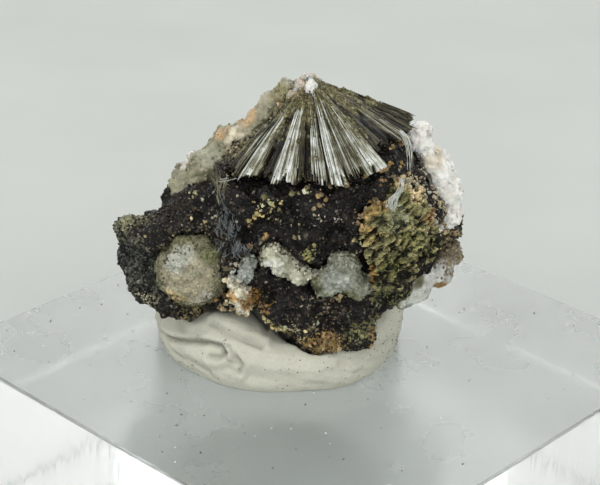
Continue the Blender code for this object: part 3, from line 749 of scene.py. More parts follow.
def along(points, share):
    """The point at a share of the length of a smooth curve through the points."""
    place = share * (len(points) - 1)
    index = min(int(place), len(points) - 2)
    before, start, end, after = (
        Vector(points[max(0, min(len(points) - 1, index + step))]) for step in (-1, 0, 1, 2)
    )
    t = place - index
    return 0.5 * (
        2 * start + (end - before) * t + (2 * before - 5 * start + 4 * end - after) * t * t
        + (3 * start - 3 * end + after - before) * t**3
    )


def fan_frame(share):
    """The run from the fan's point to its rim at this share, and the direction out of the fan."""
    rim = along(FAN_RIM, share)
    beside = along(FAN_RIM, min(1, share + 0.02)) - along(FAN_RIM, max(0, share - 0.02))
    out = beside.cross(rim - FAN_APEX).normalized()
    return rim - FAN_APEX, out if out.z > 0 else -out


rim_length = sum((along(FAN_RIM, (k + 1) / 50) - along(FAN_RIM, k / 50)).length for k in range(50))
dice = random.Random(12)
rods = []  # each needle: middle and half width along the rim, skew, height, length, whiteness, start
for start, end, height, length, white, width, bare in FAN_BUNDLES:
    middle, half = (start + end) / 2, (end - start) / 2
    for layer in range(2):
        place = start
        while place < end:
            wide = width / rim_length * dice.uniform(0.4, 1.5)
            crown = 1 - 0.5 * min(1.2, abs((place - middle) / half)) ** 3
            sheen = white * (dice.uniform(0.68, 1.05) if dice.random() < 0.7 else dice.uniform(0.12, 0.6))
            rods.append((
                place + wide / 2, wide * 0.62, dice.uniform(-0.006, 0.006),
                height * crown + dice.uniform(-0.14, 0.08) - 0.08 * layer,
                length * dice.uniform(0.88, 1.02), sheen, bare * dice.uniform(0.5, 1.2),
            ))
            place += wide

shares = np.linspace(0, 1, FAN_COLUMNS + 1)
stations = np.linspace(0.03, 1.0, FAN_STATIONS) ** 0.9
runs, outs = (np.array(side) for side in zip(*(fan_frame(share) for share in shares)))
lift = np.full((len(stations), len(shares)), GAP_LIFT)
white = np.full((len(stations), len(shares)), GAP_SHADED_WHITENESS)
reach = np.full(len(shares), GAP_REACH)
highest = np.full(len(shares), -9.0)
for middle, half, skew, height, length, sheen, begin in rods:
    for row, station in enumerate(stations):
        if station < begin:
            continue
        offset = np.abs(shares - middle - skew * (1 - station)) / half
        columns = np.nonzero(offset < 1)[0]
        curve = np.sqrt(1 - offset[columns] ** 2)
        rise = height - 0.14 * (1 - curve) * min(1.0, half * rim_length / 0.1)
        above = rise > lift[row, columns]
        lift[row, columns[above]] = rise[above]
        # Painted shade: each needle is painted darker towards its sides; all are also darker towards the point
        white[row, columns[above]] = sheen * (0.66 + 0.34 * curve[above]) * (0.7 + 0.35 * station)
    columns = np.nonzero((np.abs(shares - middle) < half) & (highest < height))[0]
    reach[columns] = length
    highest[columns] = height

verts, whites, dusty, fibres = [], [], [], []
for row, station in enumerate(stations):
    for column, share in enumerate(shares):
        place = np.array(FAN_APEX) + runs[column] * station * reach[column]
        patch = noise.fractal(Vector((share * 16, station * 5, 8.5)), 1.0, 2.0, 3)
        felt = 0.9 * max(0.0, 1 - abs(share - FELT_SHARE) / 0.07) * (station < 0.75)
        sprinkled = 0.75 * max(0.0, noise.fractal(Vector(place) / 0.5, 1.0, 2.0, 3))
        dust = min(1.0, max(sprinkled, 2.05 - 3.8 * station + 2.0 * patch + felt))
        crumbs = noise.fractal(Vector(place) / 0.16, 1.0, 2.0, 3)
        bed = max(lift[row, column], -0.1) if dust > 0.5 else lift[row, column]
        rise = lift[row, column] + (bed - lift[row, column] + 0.07 + 0.13 * crumbs) * dust
        place = place + outs[column] * (rise * (0.25 + 0.75 * station))
        verts.append(above_block(*place))
        whites.append(white[row, column])
        dusty.append(dust)
        fibres.append((share * rim_length, station * 0.35, 0.0))
fan_width = len(shares)
faces = []
for row in range(len(stations) - 1):
    for column in range(fan_width - 1):
        corner = row * fan_width + column
        faces.append((corner, corner + fan_width, corner + fan_width + 1, corner + 1))
last = (len(stations) - 1) * fan_width
for step in range(1, 5):
    for column in range(fan_width):
        rim = np.array(FAN_APEX) + runs[column] * reach[column] * (1 - 0.012 * step**1.5)
        drop = lift[-1, column] - (FAN_THICKNESS * step / 4)
        verts.append(above_block(*(rim + outs[column] * drop)))
        # Painted shade: the broken edge under the rim is painted darker at each step down
        whites.append(white[-1, column] * (1.0 - 0.24 * step))
        dusty.append(0.15 * step)
        fibres.append((shares[column] * rim_length, 0.35 + 0.1 * step, 0.0))
    for column in range(fan_width - 1):
        corner = last + (step - 1) * fan_width + column
        faces.append((corner, corner + fan_width, corner + fan_width + 1, corner + 1))
foot_row = len(verts) - fan_width
tip, root = len(verts), len(verts) + 1
verts += [above_block(*FAN_APEX), above_block(*FAN_ROOT)]
whites += [0.3, 0.1]
dusty += [1.0, 1.0]
fibres += [(0, 0, 0), (0, 1, 0)]
for column in range(fan_width - 1):
    faces.append((tip, column, column + 1))
    faces.append((root, foot_row + column + 1, foot_row + column))
for column in (0, fan_width - 1):
    faces.append([tip, root] + [row * fan_width + column for row in reversed(range(len(stations) + 4))])

# Ferrierite needles: silky, each with fine streaks along it, white to grey-green, brown to near-black in the gaps,
# that dark being partly painted shadow
silk, tree, shader = new_material(
    "silky ferrierite needles", Roughness=0.35,
    Subsurface_Weight=0.1, Subsurface_Scale=0.2 * MM, Subsurface_Radius=(1.0, 1.0, 1.0),
)
where = add(tree, "ShaderNodeTexCoord").outputs["Object"]
fibre = stored(tree, "fibre", "Vector")
streak = add(tree, "ShaderNodeTexNoise", {"Vector": fibre, "Scale": 11.0, "Detail": 4.0, "Roughness": 0.6})
streaked = span(tree, streak, 0.3, 0.7, -0.5, 0.26)
shaded = span(tree, clouds(tree, where, 0.9, 4.0, 0.65), 0.35, 0.65, 0.62, 1.12)
value = add(tree, "ShaderNodeMath", {0: stored(tree, "white"), 1: streaked}, operation="ADD")
value = add(tree, "ShaderNodeMath", {0: value, 1: shaded}, operation="MULTIPLY")
silky = add(
    tree, "ShaderNodeValToRGB", {0: value},
    stops=((0.05, "100E0B"), (0.22, "39331F"), (0.38, "757158"), (0.55, "B2B4A8"), (0.85, "F1F4F3")),
)
crumb = clouds(tree, where, 0.2, 4.0, 0.75)
dust = add(
    tree, "ShaderNodeValToRGB", {0: crumb},
    stops=((0.32, "1D1A10"), (0.45, "4F4A2F"), (0.56, "7F7A54"), (0.66, "A8A380"), (0.78, "D6CFB4")),
)
much = add(tree, "ShaderNodeMath", {0: stored(tree, "dusty"), 1: crumb}, operation="ADD")
dusted = add(tree, "ShaderNodeMix", {0: span(tree, much, 0.85, 1.1), 6: silky, 7: dust}, data_type="RGBA")
tree.links.new(dusted.outputs[2], shader.inputs["Base Color"])

fan_mesh = bpy.data.meshes.new("ferrierite_fan")
fan_mesh.from_pydata(verts, [], faces)
fan = add_mesh("ferrierite_fan", fan_mesh, silk)
mark(fan, "white", whites)
mark(fan, "dusty", dusty)
fan_mesh.attributes.new("fibre", "FLOAT_VECTOR", "POINT").data.foreach_set("vector", np.array(fibres).ravel())
spots = places_of(fan)
mark(fan, "gap", np.clip(0.5 - np.array(whites), 0.04, 0.5) + 0.35 * (np.array(fibres)[:, 1] > 0.345))
tint(fan, paint(spots, "574F33", (
    ((-1.9, -0.7, 17.0), 0.8, 1.0, "D9CBB8"), ((-3.0, -1.4, 15.6), 1.0, 0.6, "8C8460"),
    ((1.6, -0.2, 16.3), 1.8, 0.9, "7C7550"), ((0.2, -4.8, 13.4), 2.5, 0.5, "5A5236"),
))[0])
fan_bm = bmesh.new()
fan_bm.from_mesh(fan_mesh)
bmesh.ops.triangulate(fan_bm, faces=[f for f in fan_bm.faces if len(f.verts) > 4])
bmesh.ops.recalc_face_normals(fan_bm, faces=fan_bm.faces)
fan_bm.to_mesh(fan_mesh)
fan_bm.free()
fan_mesh.shade_smooth()
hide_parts("ferrierite_spray")
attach(fan, "root")

# Clay dust: earthy grains without any gloss, in their ground's own colour
clay_dust = mineral("olive clay dust", 0.12, 0.35, 0.85)
scatter("fan_dust", fan, "dusty", 26.0, 0.02, 0.075, clay_dust, 51)
scatter("fan_gap_grains", fan, "gap", 17.0, 0.025, 0.08, clay_dust, 52)

# Tip of the fan
# A stubby white crystal and three duller ones stand on the fan's point, with pinkish granules heaped round.

TIP_CRYSTALS = (  # middle in mm, size and colour
    ((-1.10, -1.12, 17.30), 1.0, "D6D5D0"), ((-1.72, -0.80, 17.20), 0.85, "B7AFA5"),
    ((-2.20, -0.85, 16.60), 0.75, "A59C8E"), ((-1.45, -0.30, 17.50), 0.7, "C4BBB2"),
)
# White crystal: smooth and milky, lit from within
tip_crystal = mineral("white ferrierite crystal", 0.2, 0.2, 0.25, depth=0.4, glow=0.3, relief=0.8)
crystal_bm = bmesh.new()
dice = random.Random(21)
for (x, y, z), size, colour in TIP_CRYSTALS:
    corners = []
    for level, wide in ((-1.2, 0.28), (-0.5, 0.42), (0.12, 0.38), (0.42, 0.14)):
        for corner in range(5):
            turn = math.radians(72 * corner + 14)
            side = size * wide * dice.uniform(0.8, 1.15)
            corners.append(crystal_bm.verts.new(above_block(
                x + side * math.cos(turn), y + 0.85 * side * math.sin(turn),
                z + size * (level + dice.uniform(-0.06, 0.06)),
            )))
    hull = bmesh.ops.convex_hull(crystal_bm, input=corners)
    inner = {item for item in hull["geom_interior"] + hull["geom_unused"] if isinstance(item, bmesh.types.BMVert)}
    bmesh.ops.delete(crystal_bm, geom=list(inner), context="VERTS")
bmesh.ops.recalc_face_normals(crystal_bm, faces=crystal_bm.faces)
crystal = add_mesh("tip_crystal", mesh_of(crystal_bm, "tip_crystal"), tip_crystal)
middles = np.array([middle for middle, size, colour in TIP_CRYSTALS])
own = np.array([linear(colour)[:3] for middle, size, colour in TIP_CRYSTALS])
gaps = np.linalg.norm(places_of(crystal)[:, None] - middles[None], axis=2)
tint(crystal, own[gaps.argmin(axis=1)])
mark(crystal, "light", np.ones(len(crystal.data.vertices)))
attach(crystal, "root")

fan_ground = ground_of(fan)
TIP_HEAPS = (
    ((-1.75, -0.7, 17.2), 0.30, 60, 0.13, "DCD0C6"), ((-2.3, -0.8, 16.6), 0.35, 50, 0.10, "B8A88E"),
    ((-1.9, 0.3, 17.6), 0.40, 60, 0.12, "C4B9AA"), ((-1.0, -0.3, 17.6), 0.30, 40, 0.11, "D2C8BC"),
    ((-2.9, -0.8, 15.9), 0.40, 50, 0.09, "8E845E"),
    ((-1.3, -0.6, 17.5), 0.14, 16, 0.09, "E8E2DC"), ((-0.5, -0.6, 17.2), 0.22, 30, 0.07, "7B7450"),
    ((-1.4, -1.3, 16.9), 0.25, 40, 0.07, "6E6642"), ((-0.7, -1.4, 16.7), 0.25, 40, 0.07, "77704A"),
    ((-2.6, -1.2, 16.2), 0.30, 30, 0.06, "837B56"), ((0.2, -0.8, 16.8), 0.30, 36, 0.06, "7A744E"),
    ((1.0, 0.1, 16.7), 0.35, 36, 0.06, "847D58"), ((2.0, 0.4, 16.2), 0.35, 30, 0.06, "7A7350"),
)
heaps("fan_tip_grains", TIP_HEAPS, (fan_ground, stone_ground), 1, dice, zeolite)

# Loose needles
# Single needles and thin blades that stand free of the fan's surface, and stray ones on the stone beside it.
# A node tree turns each line of points into a five-sided prism.


def needle_tree():
    """Turns lines of points into prisms. Each point gives the prism's radius there."""
    tree = bpy.data.node_groups.new("needles", "GeometryNodeTree")
    for name, kind in (("Geometry", "NodeSocketGeometry"), ("Material", "NodeSocketMaterial")):
        tree.interface.new_socket(name, in_out="INPUT", socket_type=kind)
    tree.interface.new_socket("Geometry", in_out="OUTPUT", socket_type="NodeSocketGeometry")
    given = add(tree, "NodeGroupInput").outputs
    lines = add(tree, "GeometryNodeMeshToCurve", {"Mesh": given["Geometry"]})
    ring = add(tree, "GeometryNodeCurvePrimitiveCircle", {"Resolution": 5, "Radius": 1.0})
    radius = add(tree, "GeometryNodeInputNamedAttribute", {"Name": "thick"}, data_type="FLOAT")
    prisms = add(
        tree, "GeometryNodeCurveToMesh",
        {"Curve": lines, "Profile Curve": ring, "Scale": radius, "Fill Caps": True},
    )
    real = add(tree, "GeometryNodeRealizeInstances", {"Geometry": prisms})
    finished = add(tree, "GeometryNodeSetMaterial", {"Geometry": real, "Material": given["Material"]})
    add(tree, "NodeGroupOutput", {"Geometry": finished})
    return tree


NEEDLES = needle_tree()


def needles(name, lines, material):
    """Makes prisms, and gives their whiteness back. A line is its points and radius in mm, and its whiteness."""
    spots, edges, thick, white = [], [], [], []
    for points, radius, sheen in lines:
        first = len(spots)
        spots += [above_block(*point) for point in points]
        edges += [(first + k, first + k + 1) for k in range(len(points) - 1)]
        shape = [0.7] + [1] * (len(points) - 2) + [0.25]  # thinner at the foot, and pointed
        thick += [radius * part * MM for part in shape]
        white += [sheen] * len(points)
    mesh = bpy.data.meshes.new(name)
    mesh.from_pydata(spots, edges, [])
    carrier = bpy.data.objects.new(name + "_lines", mesh)
    mark(carrier, "thick", thick)
    mark(carrier, "white", white)
    bundle = add_mesh(name, run_nodes(name, mesh.copy(), NEEDLES, {"Material": material}), material)
    bpy.data.objects.remove(carrier)
    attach(bundle, "root")
    return bundle, np.array([item.value for item in bundle.data.attributes["white"].data])


SHORTEST_NEEDLE = 0.12  # of the way from the point to the rim
dice = random.Random(5)
lines = []
for start, end, height, length, sheen, width, bare in FAN_BUNDLES:
    spacing = 0.05 if sheen > 0.3 else 0.14  # mm: few of them stand in the dark gaps
    for number in range(int((end - start) * rim_length / spacing)):
        share = dice.uniform(start, end)
        run, out = fan_frame(share)
        begin = dice.uniform(bare, 0.8)
        stop = length * dice.uniform(0.88, 1.03)
        if stop - begin < SHORTEST_NEEDLE:
            continue
        over = height + dice.uniform(-0.02, 0.09)
        side = run.cross(out).normalized() * dice.uniform(-0.05, 0.05)
        points = []
        for step in range(6):
            t = begin + (stop - begin) * step / 5
            points.append(FAN_APEX + run * t + out * over * (0.25 + 0.75 * t) + side * math.sin(math.pi * step / 5))
        lines.append((points, dice.uniform(0.014, 0.04), sheen * dice.uniform(0.5, 1.15)))

LEDGE_NEEDLES = ((4.0, -1.6, 15.1), (4.35, -2.3, 14.9), (4.55, -2.9, 14.2), (4.6, -3.4, 13.4))
for number in range(9):
    away = Vector((dice.uniform(-0.2, 0.16), dice.uniform(-0.15, 0.1), dice.uniform(-0.1, 0.1)))
    short = dice.uniform(0.6, 1.0)
    points = [along(LEDGE_NEEDLES, step / 7 * short) + away + Vector((0, -0.1, 0)) for step in range(8)]
    lines.append((points, dice.uniform(0.012, 0.026), dice.uniform(0.5, 0.95)))

STRAY_BLADES = (  # three points, the spread and the number of needles, and their whiteness
    ((-5.9, -4.1, 12.7), (-5.5, -4.45, 12.9), (-5.1, -4.7, 13.15), 0.06, 7, 0.75),
    ((-6.4, -3.9, 12.9), (-5.9, -4.2, 12.5), (-5.4, -4.6, 12.4), 0.12, 9, 0.55),
    ((-6.2, -3.9, 13.2), (-6.1, -4.2, 12.3), (-5.8, -4.6, 11.4), 0.12, 10, 0.5),
    ((-5.6, -4.4, 13.0), (-5.8, -4.5, 12.3), (-5.65, -4.7, 11.6), 0.10, 8, 0.6),
)
for first, middle, end, spread, number, sheen in STRAY_BLADES:
    for index in range(number):
        away = Vector((dice.gauss(0, spread), dice.gauss(0, 0.03), dice.gauss(0, spread)))
        until = dice.uniform(0.6, 1.0)
        points = [along((first, middle, end), step / 5 * until) + away for step in range(6)]
        lines.append((points, dice.uniform(0.012, 0.03), sheen * dice.uniform(0.7, 1.1)))
needles("fan_needles", lines, silk)

# Grey fibres on the stone
# A seam of short bluish-grey fibres runs down from the fan's left corner to a matted patch.

GREY_SEAM = ((-6.0, -4.0, 12.4), (-5.7, -4.4, 11.3), (-5.5, -4.7, 10.2), (-5.3, -4.9, 9.3), (-5.1, -4.9, 8.7))
# Grey fibres: half glossy, so the ones across the light shine
grey_silk = mineral("blue-grey ferrierite fibres", 0.3, 0.3, 0.3)
lines = []
for number in range(420):
    share = dice.random() ** 0.6
    middle = along(GREY_SEAM, share)
    wide = 0.16 + 0.34 * share**2
    away = Vector((dice.gauss(0, wide), dice.gauss(0, 0.1), dice.gauss(0, 0.15)))
    spot, normal, face, distance = stone_ground.find_nearest(above_block(*(middle + away)))
    foot = in_mm(spot)
    lean = Vector((dice.gauss(0, 0.5), dice.gauss(0, 0.2), 1.0)).normalized() * dice.uniform(0.12, 0.4)
    raised = normal * dice.uniform(0.02, 0.12)
    points = [foot - lean * 0.5, foot + raised, foot + lean + raised * 0.5]
    lines.append((points, dice.uniform(0.01, 0.026), dice.random()))
seam, pale = needles("grey_fibres", lines, grey_silk)
tint(seam, "84898B")
mark(seam, "light", 0.15 + pale)

# Druses, blebs and nodule
# Milky chalcedony, sugary quartz and a tan druse line the broken edges, each grown as one crust.
# Light enters them and comes out softened, and fine crystals roughen their skins.


def crust(name, node, voxel, material, lumps, points, seed, base, spots, contrast=0.25):
    """A crust over a CAD node, painted in shade in its hollows and in highlight on its lumps. Lumps and points are
    each a size and a height in mm.
    """
    skin, places = skin_of(name, node, voxel, material, soften=3)
    relief = 0
    for step, (size, height) in enumerate((lumps, points)):
        relief += height * (0.5 - cells(places, size, seed + step))
    relief += 0.08 * waves(places, 0.6, 3, seed)
    push(skin, relief)
    places = places_of(skin)
    tint(skin, paint(places, base, spots, 0.25)[0])
    # Painted shade in the hollows and painted highlight on the lumps: the brightness follows the relief, with a
    # random mottle of this contrast
    mark(skin, "light", np.clip(1.0 + contrast * waves(places, 0.7, 4, seed + 5) + 1.2 * relief, 0.25, 1.5))
    mark(skin, "anywhere", np.clip(0.4 + 2.5 * waves(places, 0.8, 2, seed + 9), 0, 1))
    return skin, places


# Granular chalcedony: a dull skin of olive and grey grains with soft shadows between them
knob = mineral("granular chalcedony", 0.14, 0.5, 0.65, depth=0.3, glow=0.15, relief=1.0, hues=0.7)
nodule, places = crust(
    "chalcedony_knob", "chalcedony_nodule", 0.08, knob, (0.6, 0.24), (0.2, 0.14), 11, "77745A",
    (
        ((-7.7, -5.2, 6.6), 2.0, 1.0, "9A937B"), ((-8.2, -4.9, 8.1), 1.2, 0.8, "A8A89C"),
        ((-7.2, -5.3, 7.4), 0.9, 0.6, "9C967E"), ((-6.6, -5.1, 5.5), 0.8, 0.9, "ABA697"),
        ((-8.5, -4.9, 5.4), 0.9, 0.7, "B39F72"), ((-6.3, -4.7, 8.5), 0.7, 0.9, "6D6F4A"),
    ),
)
# A belt of crumbs lies where the stone grips the nodule, 0.6 of the way out and beyond
rim = np.linalg.norm((places - (-7.6, -4.6, 7.0)) / (2.0, 9.0, 2.15), axis=1)
mark(nodule, "rim", np.clip((rim - 0.6) * 3, 0, 1) * (places[:, 1] < -2.5))
scatter("nodule_rim_crumbs", nodule, "rim", 26.0, 0.03, 0.12, crumb_stone, 61, "5C5A3E")
scatter("nodule_grains", nodule, "anywhere", 20.0, 0.02, 0.08, zeolite, 62)

# Milky chalcedony: waxy and translucent, with painted highlights on its lumps
milky = mineral("milky chalcedony", 0.2, 0.25, 0.2, depth=0.6, glow=0.35, clear=0.3, relief=0.6)
for name, node, base, spots in (
    ("bleb_left", "seam_bleb_left", "A3A8A0", (((-4.0, -5.2, 7.6), 0.5, 1.0, "747B76"),)),
    ("bleb_middle", "seam_bleb_middle", "BEBDA6", (
        ((-2.9, -5.4, 8.0), 0.8, 1.0, "F1EEDD"), ((-1.6, -5.5, 6.9), 0.6, 0.9, "E0DDC6"),
        ((-2.2, -5.5, 7.2), 0.4, 0.9, "A5A37E"),
    )),
    ("bleb_right", "seam_bleb_right", "999B88", (
        ((-0.4, -5.4, 7.0), 0.7, 1.0, "66664A"), ((0.8, -5.5, 7.5), 0.9, 1.0, "A9ADA2"),
        ((1.5, -5.2, 6.3), 0.8, 0.9, "8F8C68"),
    )),
):
    bleb, places = crust(name, node, 0.06, milky, (0.38, 0.26), (0.16, 0.12), 14, base, spots, 0.45)
    scatter(name + "_grains", bleb, "anywhere", 14.0, 0.02, 0.09, zeolite, 63)
    near = [1.1 - stone_ground.find_nearest(vert.co)[3] / (0.55 * MM) for vert in bleb.data.vertices]
    mark(bleb, "rim", np.clip(near, 0, 1))
    scatter(name + "_rim_crumbs", bleb, "rim", 34.0, 0.03, 0.11, crumb_stone, 65, "45422F")

lobes, places = crust("chalcedony_vein", "chalcedony_lobes", 0.085, milky, (0.7, 0.30), (0.2, 0.10), 16, "E3E4DC", (
    ((6.2, -1.8, 6.6), 1.2, 1.0, "F4F4EE"), ((6.7, -1.3, 5.0), 0.9, 0.9, "A5804C"),
    ((4.5, -2.6, 4.6), 0.9, 0.9, "6E7046"), ((4.8, -2.6, 5.6), 0.8, 0.8, "DADCD2"),
    ((5.5, -2.2, 6.2), 0.6, 0.8, "A3A283"), ((7.9, -0.4, 8.0), 1.9, 1.0, "8A7D64"),
))
LOBE_END = (7.6, -0.8, 7.6)
away = np.linalg.norm(places - np.array(LOBE_END), axis=1)
mark(lobes, "right", np.clip(2.2 - away, 0, 1))
scatter("lobe_crumbs", lobes, "right", 30.0, 0.04, 0.13, crumb_stone, 66, "8F8268")
scatter("lobe_grains", lobes, "anywhere", 8.0, 0.02, 0.09, zeolite, 67)

# Tan druse: translucent like wax, so that its lumps are soft-edged and warm in the hollows
druse_skin = mineral("tan translucent druse", 0.25, 0.16, 0.35, depth=0.6, glow=0.4, clear=0.15, relief=0.6)
SHOULDER_PATCHES = (
    ((-6.0, 0.0, 13.9), 0.7, 0.9, "BD9F78"), ((-5.1, -0.8, 13.9), 0.9, 0.9, "D8CFB4"),
    ((-8.0, 0.2, 12.2), 1.0, 1.0, "DAD2CA"), ((-3.6, 0.5, 15.5), 0.7, 0.8, "C9C0AC"),
    ((-4.6, 0.1, 14.9), 0.8, 0.9, "BDA27C"), ((-6.8, -0.8, 12.6), 0.9, 0.7, "A8A690"),
    ((-2.8, 0.2, 16.3), 0.8, 0.7, "8F8762"),
)
shoulder, places = crust(
    "tan_shoulder_druse", "drusy_crust", 0.085, druse_skin, (0.5, 0.26), (0.22, 0.12), 18, "928E74",
    SHOULDER_PATCHES, 0.4,
)
scatter("shoulder_grains", shoulder, "anywhere", 13.0, 0.03, 0.13, zeolite, 64)

# Sugary quartz: nearly white and soft-lit, each fine point with its own small shine
sugar = mineral("sugary quartz", 0.2, 0.08, 0.3, depth=0.5, glow=0.4, clear=0.1, relief=0.7)
flank, places = crust("white_flank_druse", "quartz_druse", 0.085, sugar, (0.6, 0.26), (0.22, 0.12), 20, "F3EFE8", (
    ((6.0, 1.0, 12.4), 1.0, 0.8, "DCCFB8"), ((7.2, 0.6, 10.4), 1.4, 0.9, "F0EDE6"),
    ((7.7, 0.4, 8.4), 0.9, 0.8, "CFC6B4"),
), 0.12)
scatter("quartz_points", flank, "anywhere", 12.0, 0.04, 0.13, sugar, 31)

# Clay crust
# Green smectite clay with open pores between stringy ribs, and rust along its left and upper edges.
# A pale fibrous vein runs down into it from its top, and cream crumbs line its right rim.

VEIN = ((4.1, -4.1, 14.2), (4.1, -4.4, 13.5), (3.8, -4.7, 12.8), (3.5, -5.0, 11.6))
CLAY_PATCHES = (
    ((3.9, -4.0, 13.6), 1.0, 0.90, "CDB58A"), ((2.5, -5.2, 12.2), 1.1, 0.95, "8E7748"),
    ((3.1, -4.6, 13.1), 0.9, 0.95, "A88F66"), ((1.9, -5.5, 11.2), 0.9, 0.95, "968050"),
    ((3.95, -4.9, 11.2), 0.8, 0.80, "8A8F76"), ((2.6, -5.3, 10.4), 0.9, 0.80, "8F8054"),
    ((4.6, -4.3, 12.2), 0.9, 0.60, "6A6A44"),
    ((5.0, -3.5, 12.2), 0.9, 0.90, "D6BF94"), ((5.8, -2.6, 10.5), 0.9, 0.95, "A88A5A"),
    ((6.4, -1.9, 9.6), 0.9, 0.90, "D8CDB4"), ((2.4, -5.1, 7.6), 1.0, 0.80, "8C6C3A"),
    ((3.7, -4.7, 8.2), 1.1, 0.60, "6B6A40"), ((4.6, -4.1, 9.6), 1.2, 0.60, "8C8A58"),
)
# Pitted clay: earthy and matt, in greens and ochres
pitted = mineral("pitted smectite clay", 0.13, 0.9, 0.85, relief=0.9, specular=0.3, stretch=0.4, hues=0.9)
clay, places = skin_of("clay_crust_skin", "clay_crust", 0.065, pitted, soften=2)
RIB_LEAN = (0.83, 0.55)  # the ribs rise to the right at about 33 degrees
along_ribs = RIB_LEAN[0] * places[:, 0] + RIB_LEAN[1] * places[:, 2]
across_ribs = RIB_LEAN[0] * places[:, 2] - RIB_LEAN[1] * places[:, 0]
slanted = np.stack([0.30 * along_ribs, across_ribs, 0.6 * places[:, 1]], 1)
ribs = waves(slanted, 0.26, 4, seed=8) + 0.5 * waves(places, 0.3, 3, seed=9)
ribs = np.clip(0.48 + 1.8 * ribs, 0, 1)
veined = np.clip(1.5 - from_line(places, VEIN)[0] / 0.3, 0, 1)
calm = np.maximum(veined, patches(places, (((3.95, -4.9, 11.2), 0.8, 0.7),), 0.2)[0])
deep = np.clip((11.0 - places[:, 2]) / 3, 0, 1)
pores = np.clip(4 * waves(slanted, 0.19, 2, seed=14) - 0.3 + 0.9 * deep, 0, 1) * (1 - calm)
push(clay, (0.34 * ribs - 0.26) * (1 - calm) - 0.25 * pores + 0.05 * waves(places, 0.18, 3, seed=10))
tint(clay, paint(places, "85805A", CLAY_PATCHES, 0.3)[0])
# Painted highlight on the ribs, and painted shade in the pores, which are painted nearly black; the clay is also
# painted darker towards its bottom
raised = 0.1 + 1.6 * ribs * (1 - calm) + 1.0 * calm - 0.25 * deep
mark(clay, "light", np.clip(raised * (1 - 0.92 * pores), 0.04, 1.4))
mark(clay, "anywhere", np.clip(ribs * 1.5 - 0.6 - pores, 0, 1))
scatter("clay_grains", clay, "anywhere", 22.0, 0.02, 0.09, clay_dust, 41)

clay_ground = ground_of(clay)

# Vein fibres: off-white threads laid side by side, with a faint shine
vein_silk = mineral("white vein fibres", 0.3, 0.15, 0.4, depth=0.2, glow=0.2)
lines = []
for number in range(230):
    start = dice.uniform(0, 0.7)
    wide = Vector((dice.gauss(0, 0.17), 0, 0))
    points = []
    for step in range(6):
        near = above_block(*(along(VEIN, start + step * 0.06) + wide))
        spot, normal, face, distance = clay_ground.find_nearest(near)
        points.append(in_mm(spot + normal * dice.uniform(0.02, 0.07) * MM))
    lines.append((points, dice.uniform(0.012, 0.028), dice.random()))
vein, pale = needles("clay_vein_fibres", lines, vein_silk)
tint(vein, "C6C8BC")
mark(vein, "light", 0.6 + 0.6 * pale)

strands = []
facing = [vert.co.copy() for vert in clay.data.vertices if vert.normal.y < -0.2]
for number in range(140):
    foot = dice.choice(facing)
    lean = Vector((RIB_LEAN[0], 0, RIB_LEAN[1])) + Vector([dice.gauss(0, 0.6) for axis in range(3)])
    reach = dice.uniform(0.08, 0.25) * MM
    points = []
    for step in range(4):
        spot, normal, face, distance = clay_ground.find_nearest(foot + lean * reach * (step - 1.5))
        points.append(in_mm(spot + normal * 0.03 * MM))
    strands.append((points, dice.uniform(0.015, 0.04), dice.random() ** 2))
strings, pale = needles("clay_strands", strands, clay_dust)
dark_strand, pale_strand = (np.array(linear(colour)[:3]) for colour in ("6F6B40", "C4BB8C"))
tint(strings, dark_strand * (1 - pale[:, None]) + pale_strand * pale[:, None])
mark(strings, "light", np.full(len(pale), 0.95))

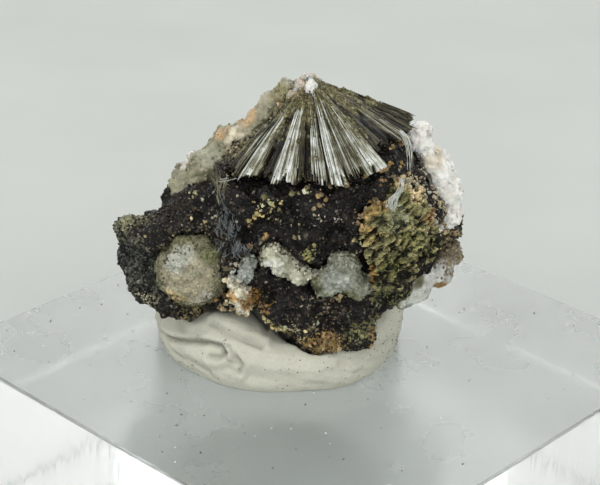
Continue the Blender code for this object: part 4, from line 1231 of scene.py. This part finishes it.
RIM_HEAPS = (
    ((-3.1, -1.0, 16.0), 0.60, 90, 0.09, "8A8260"), ((-4.1, -1.7, 15.1), 0.60, 90, 0.09, "A0967A"),
    ((-5.1, -2.4, 14.1), 0.60, 80, 0.09, "9D9270"),
    ((6.2, -1.2, 12.6), 0.45, 60, 0.10, "D0C4A8"), ((6.7, -0.9, 11.4), 0.45, 60, 0.10, "D6CCB6"),
    ((7.0, -0.8, 10.3), 0.45, 50, 0.10, "C9BC9C"), ((4.6, -3.2, 14.2), 0.25, 30, 0.09, "A89058"),
    ((4.3, -3.6, 13.5), 0.30, 40, 0.10, "BFA57C"), ((4.7, -3.4, 12.9), 0.30, 44, 0.10, "E0D0AC"),
    ((5.3, -3.0, 12.2), 0.30, 40, 0.10, "DCC49A"), ((5.7, -2.6, 11.3), 0.30, 40, 0.10, "E2D6BC"),
    ((5.9, -2.5, 10.3), 0.26, 36, 0.11, "B58E60"), ((6.5, -1.9, 9.8), 0.30, 40, 0.11, "E6DECA"),
    ((7.0, -1.3, 8.9), 0.35, 34, 0.10, "C4AE86"), ((7.3, -0.8, 7.9), 0.45, 34, 0.09, "8B7A58"),
    ((3.2, -4.7, 13.3), 0.30, 26, 0.09, "A58458"), ((2.2, -5.3, 12.2), 0.30, 30, 0.10, "96804F"),
    ((1.8, -5.6, 11.2), 0.28, 26, 0.10, "BBA278"), ((2.2, -5.1, 7.5), 0.40, 30, 0.09, "7F6D48"),
)
heaps("rim_crumbs", RIM_HEAPS, (stone_ground, clay_ground, fan_ground), 3, dice, zeolite)

# Calcite rib
# A ridge of white granular calcite between the nodule and the crack, stained with rust on both sides.

# Granular calcite: cream grains, half matt, with a little light in them
granular = mineral("granular calcite", 0.16, 0.3, 0.5, depth=0.2, glow=0.2, relief=0.9)
rib, places = crust("calcite_ridge", "calcite_rib", 0.065, granular, (0.4, 0.30), (0.16, 0.16), 24, "D6CEB9", (
    ((-4.3, -4.9, 5.6), 0.6, 0.9, "8E6C3E"), ((-5.0, -5.0, 6.0), 0.4, 0.8, "B8925C"),
    ((-4.6, -5.1, 7.2), 0.4, 0.8, "C9B07A"),
), 0.6)
scatter("calcite_grains", rib, "anywhere", 36.0, 0.03, 0.12, granular, 71)
RIB_HEAPS = (
    ((-4.8, -5.0, 7.3), 0.35, 40, 0.11, "E2DAC6"), ((-4.9, -4.9, 6.5), 0.35, 44, 0.11, "DCD2BA"),
    ((-4.6, -4.9, 5.7), 0.35, 44, 0.11, "D8CAA6"), ((-5.6, -4.6, 5.9), 0.35, 36, 0.10, "946C3A"),
    ((-3.9, -4.9, 5.7), 0.35, 50, 0.09, "94703C"), ((-5.4, -4.5, 4.5), 0.40, 44, 0.10, "D2C094"),
    ((-4.3, -4.8, 5.0), 0.35, 36, 0.09, "C2AC7C"),
)
heaps("rib_crumbs", RIB_HEAPS, (stone_ground, ground_of(rib)), 2, dice, granular)
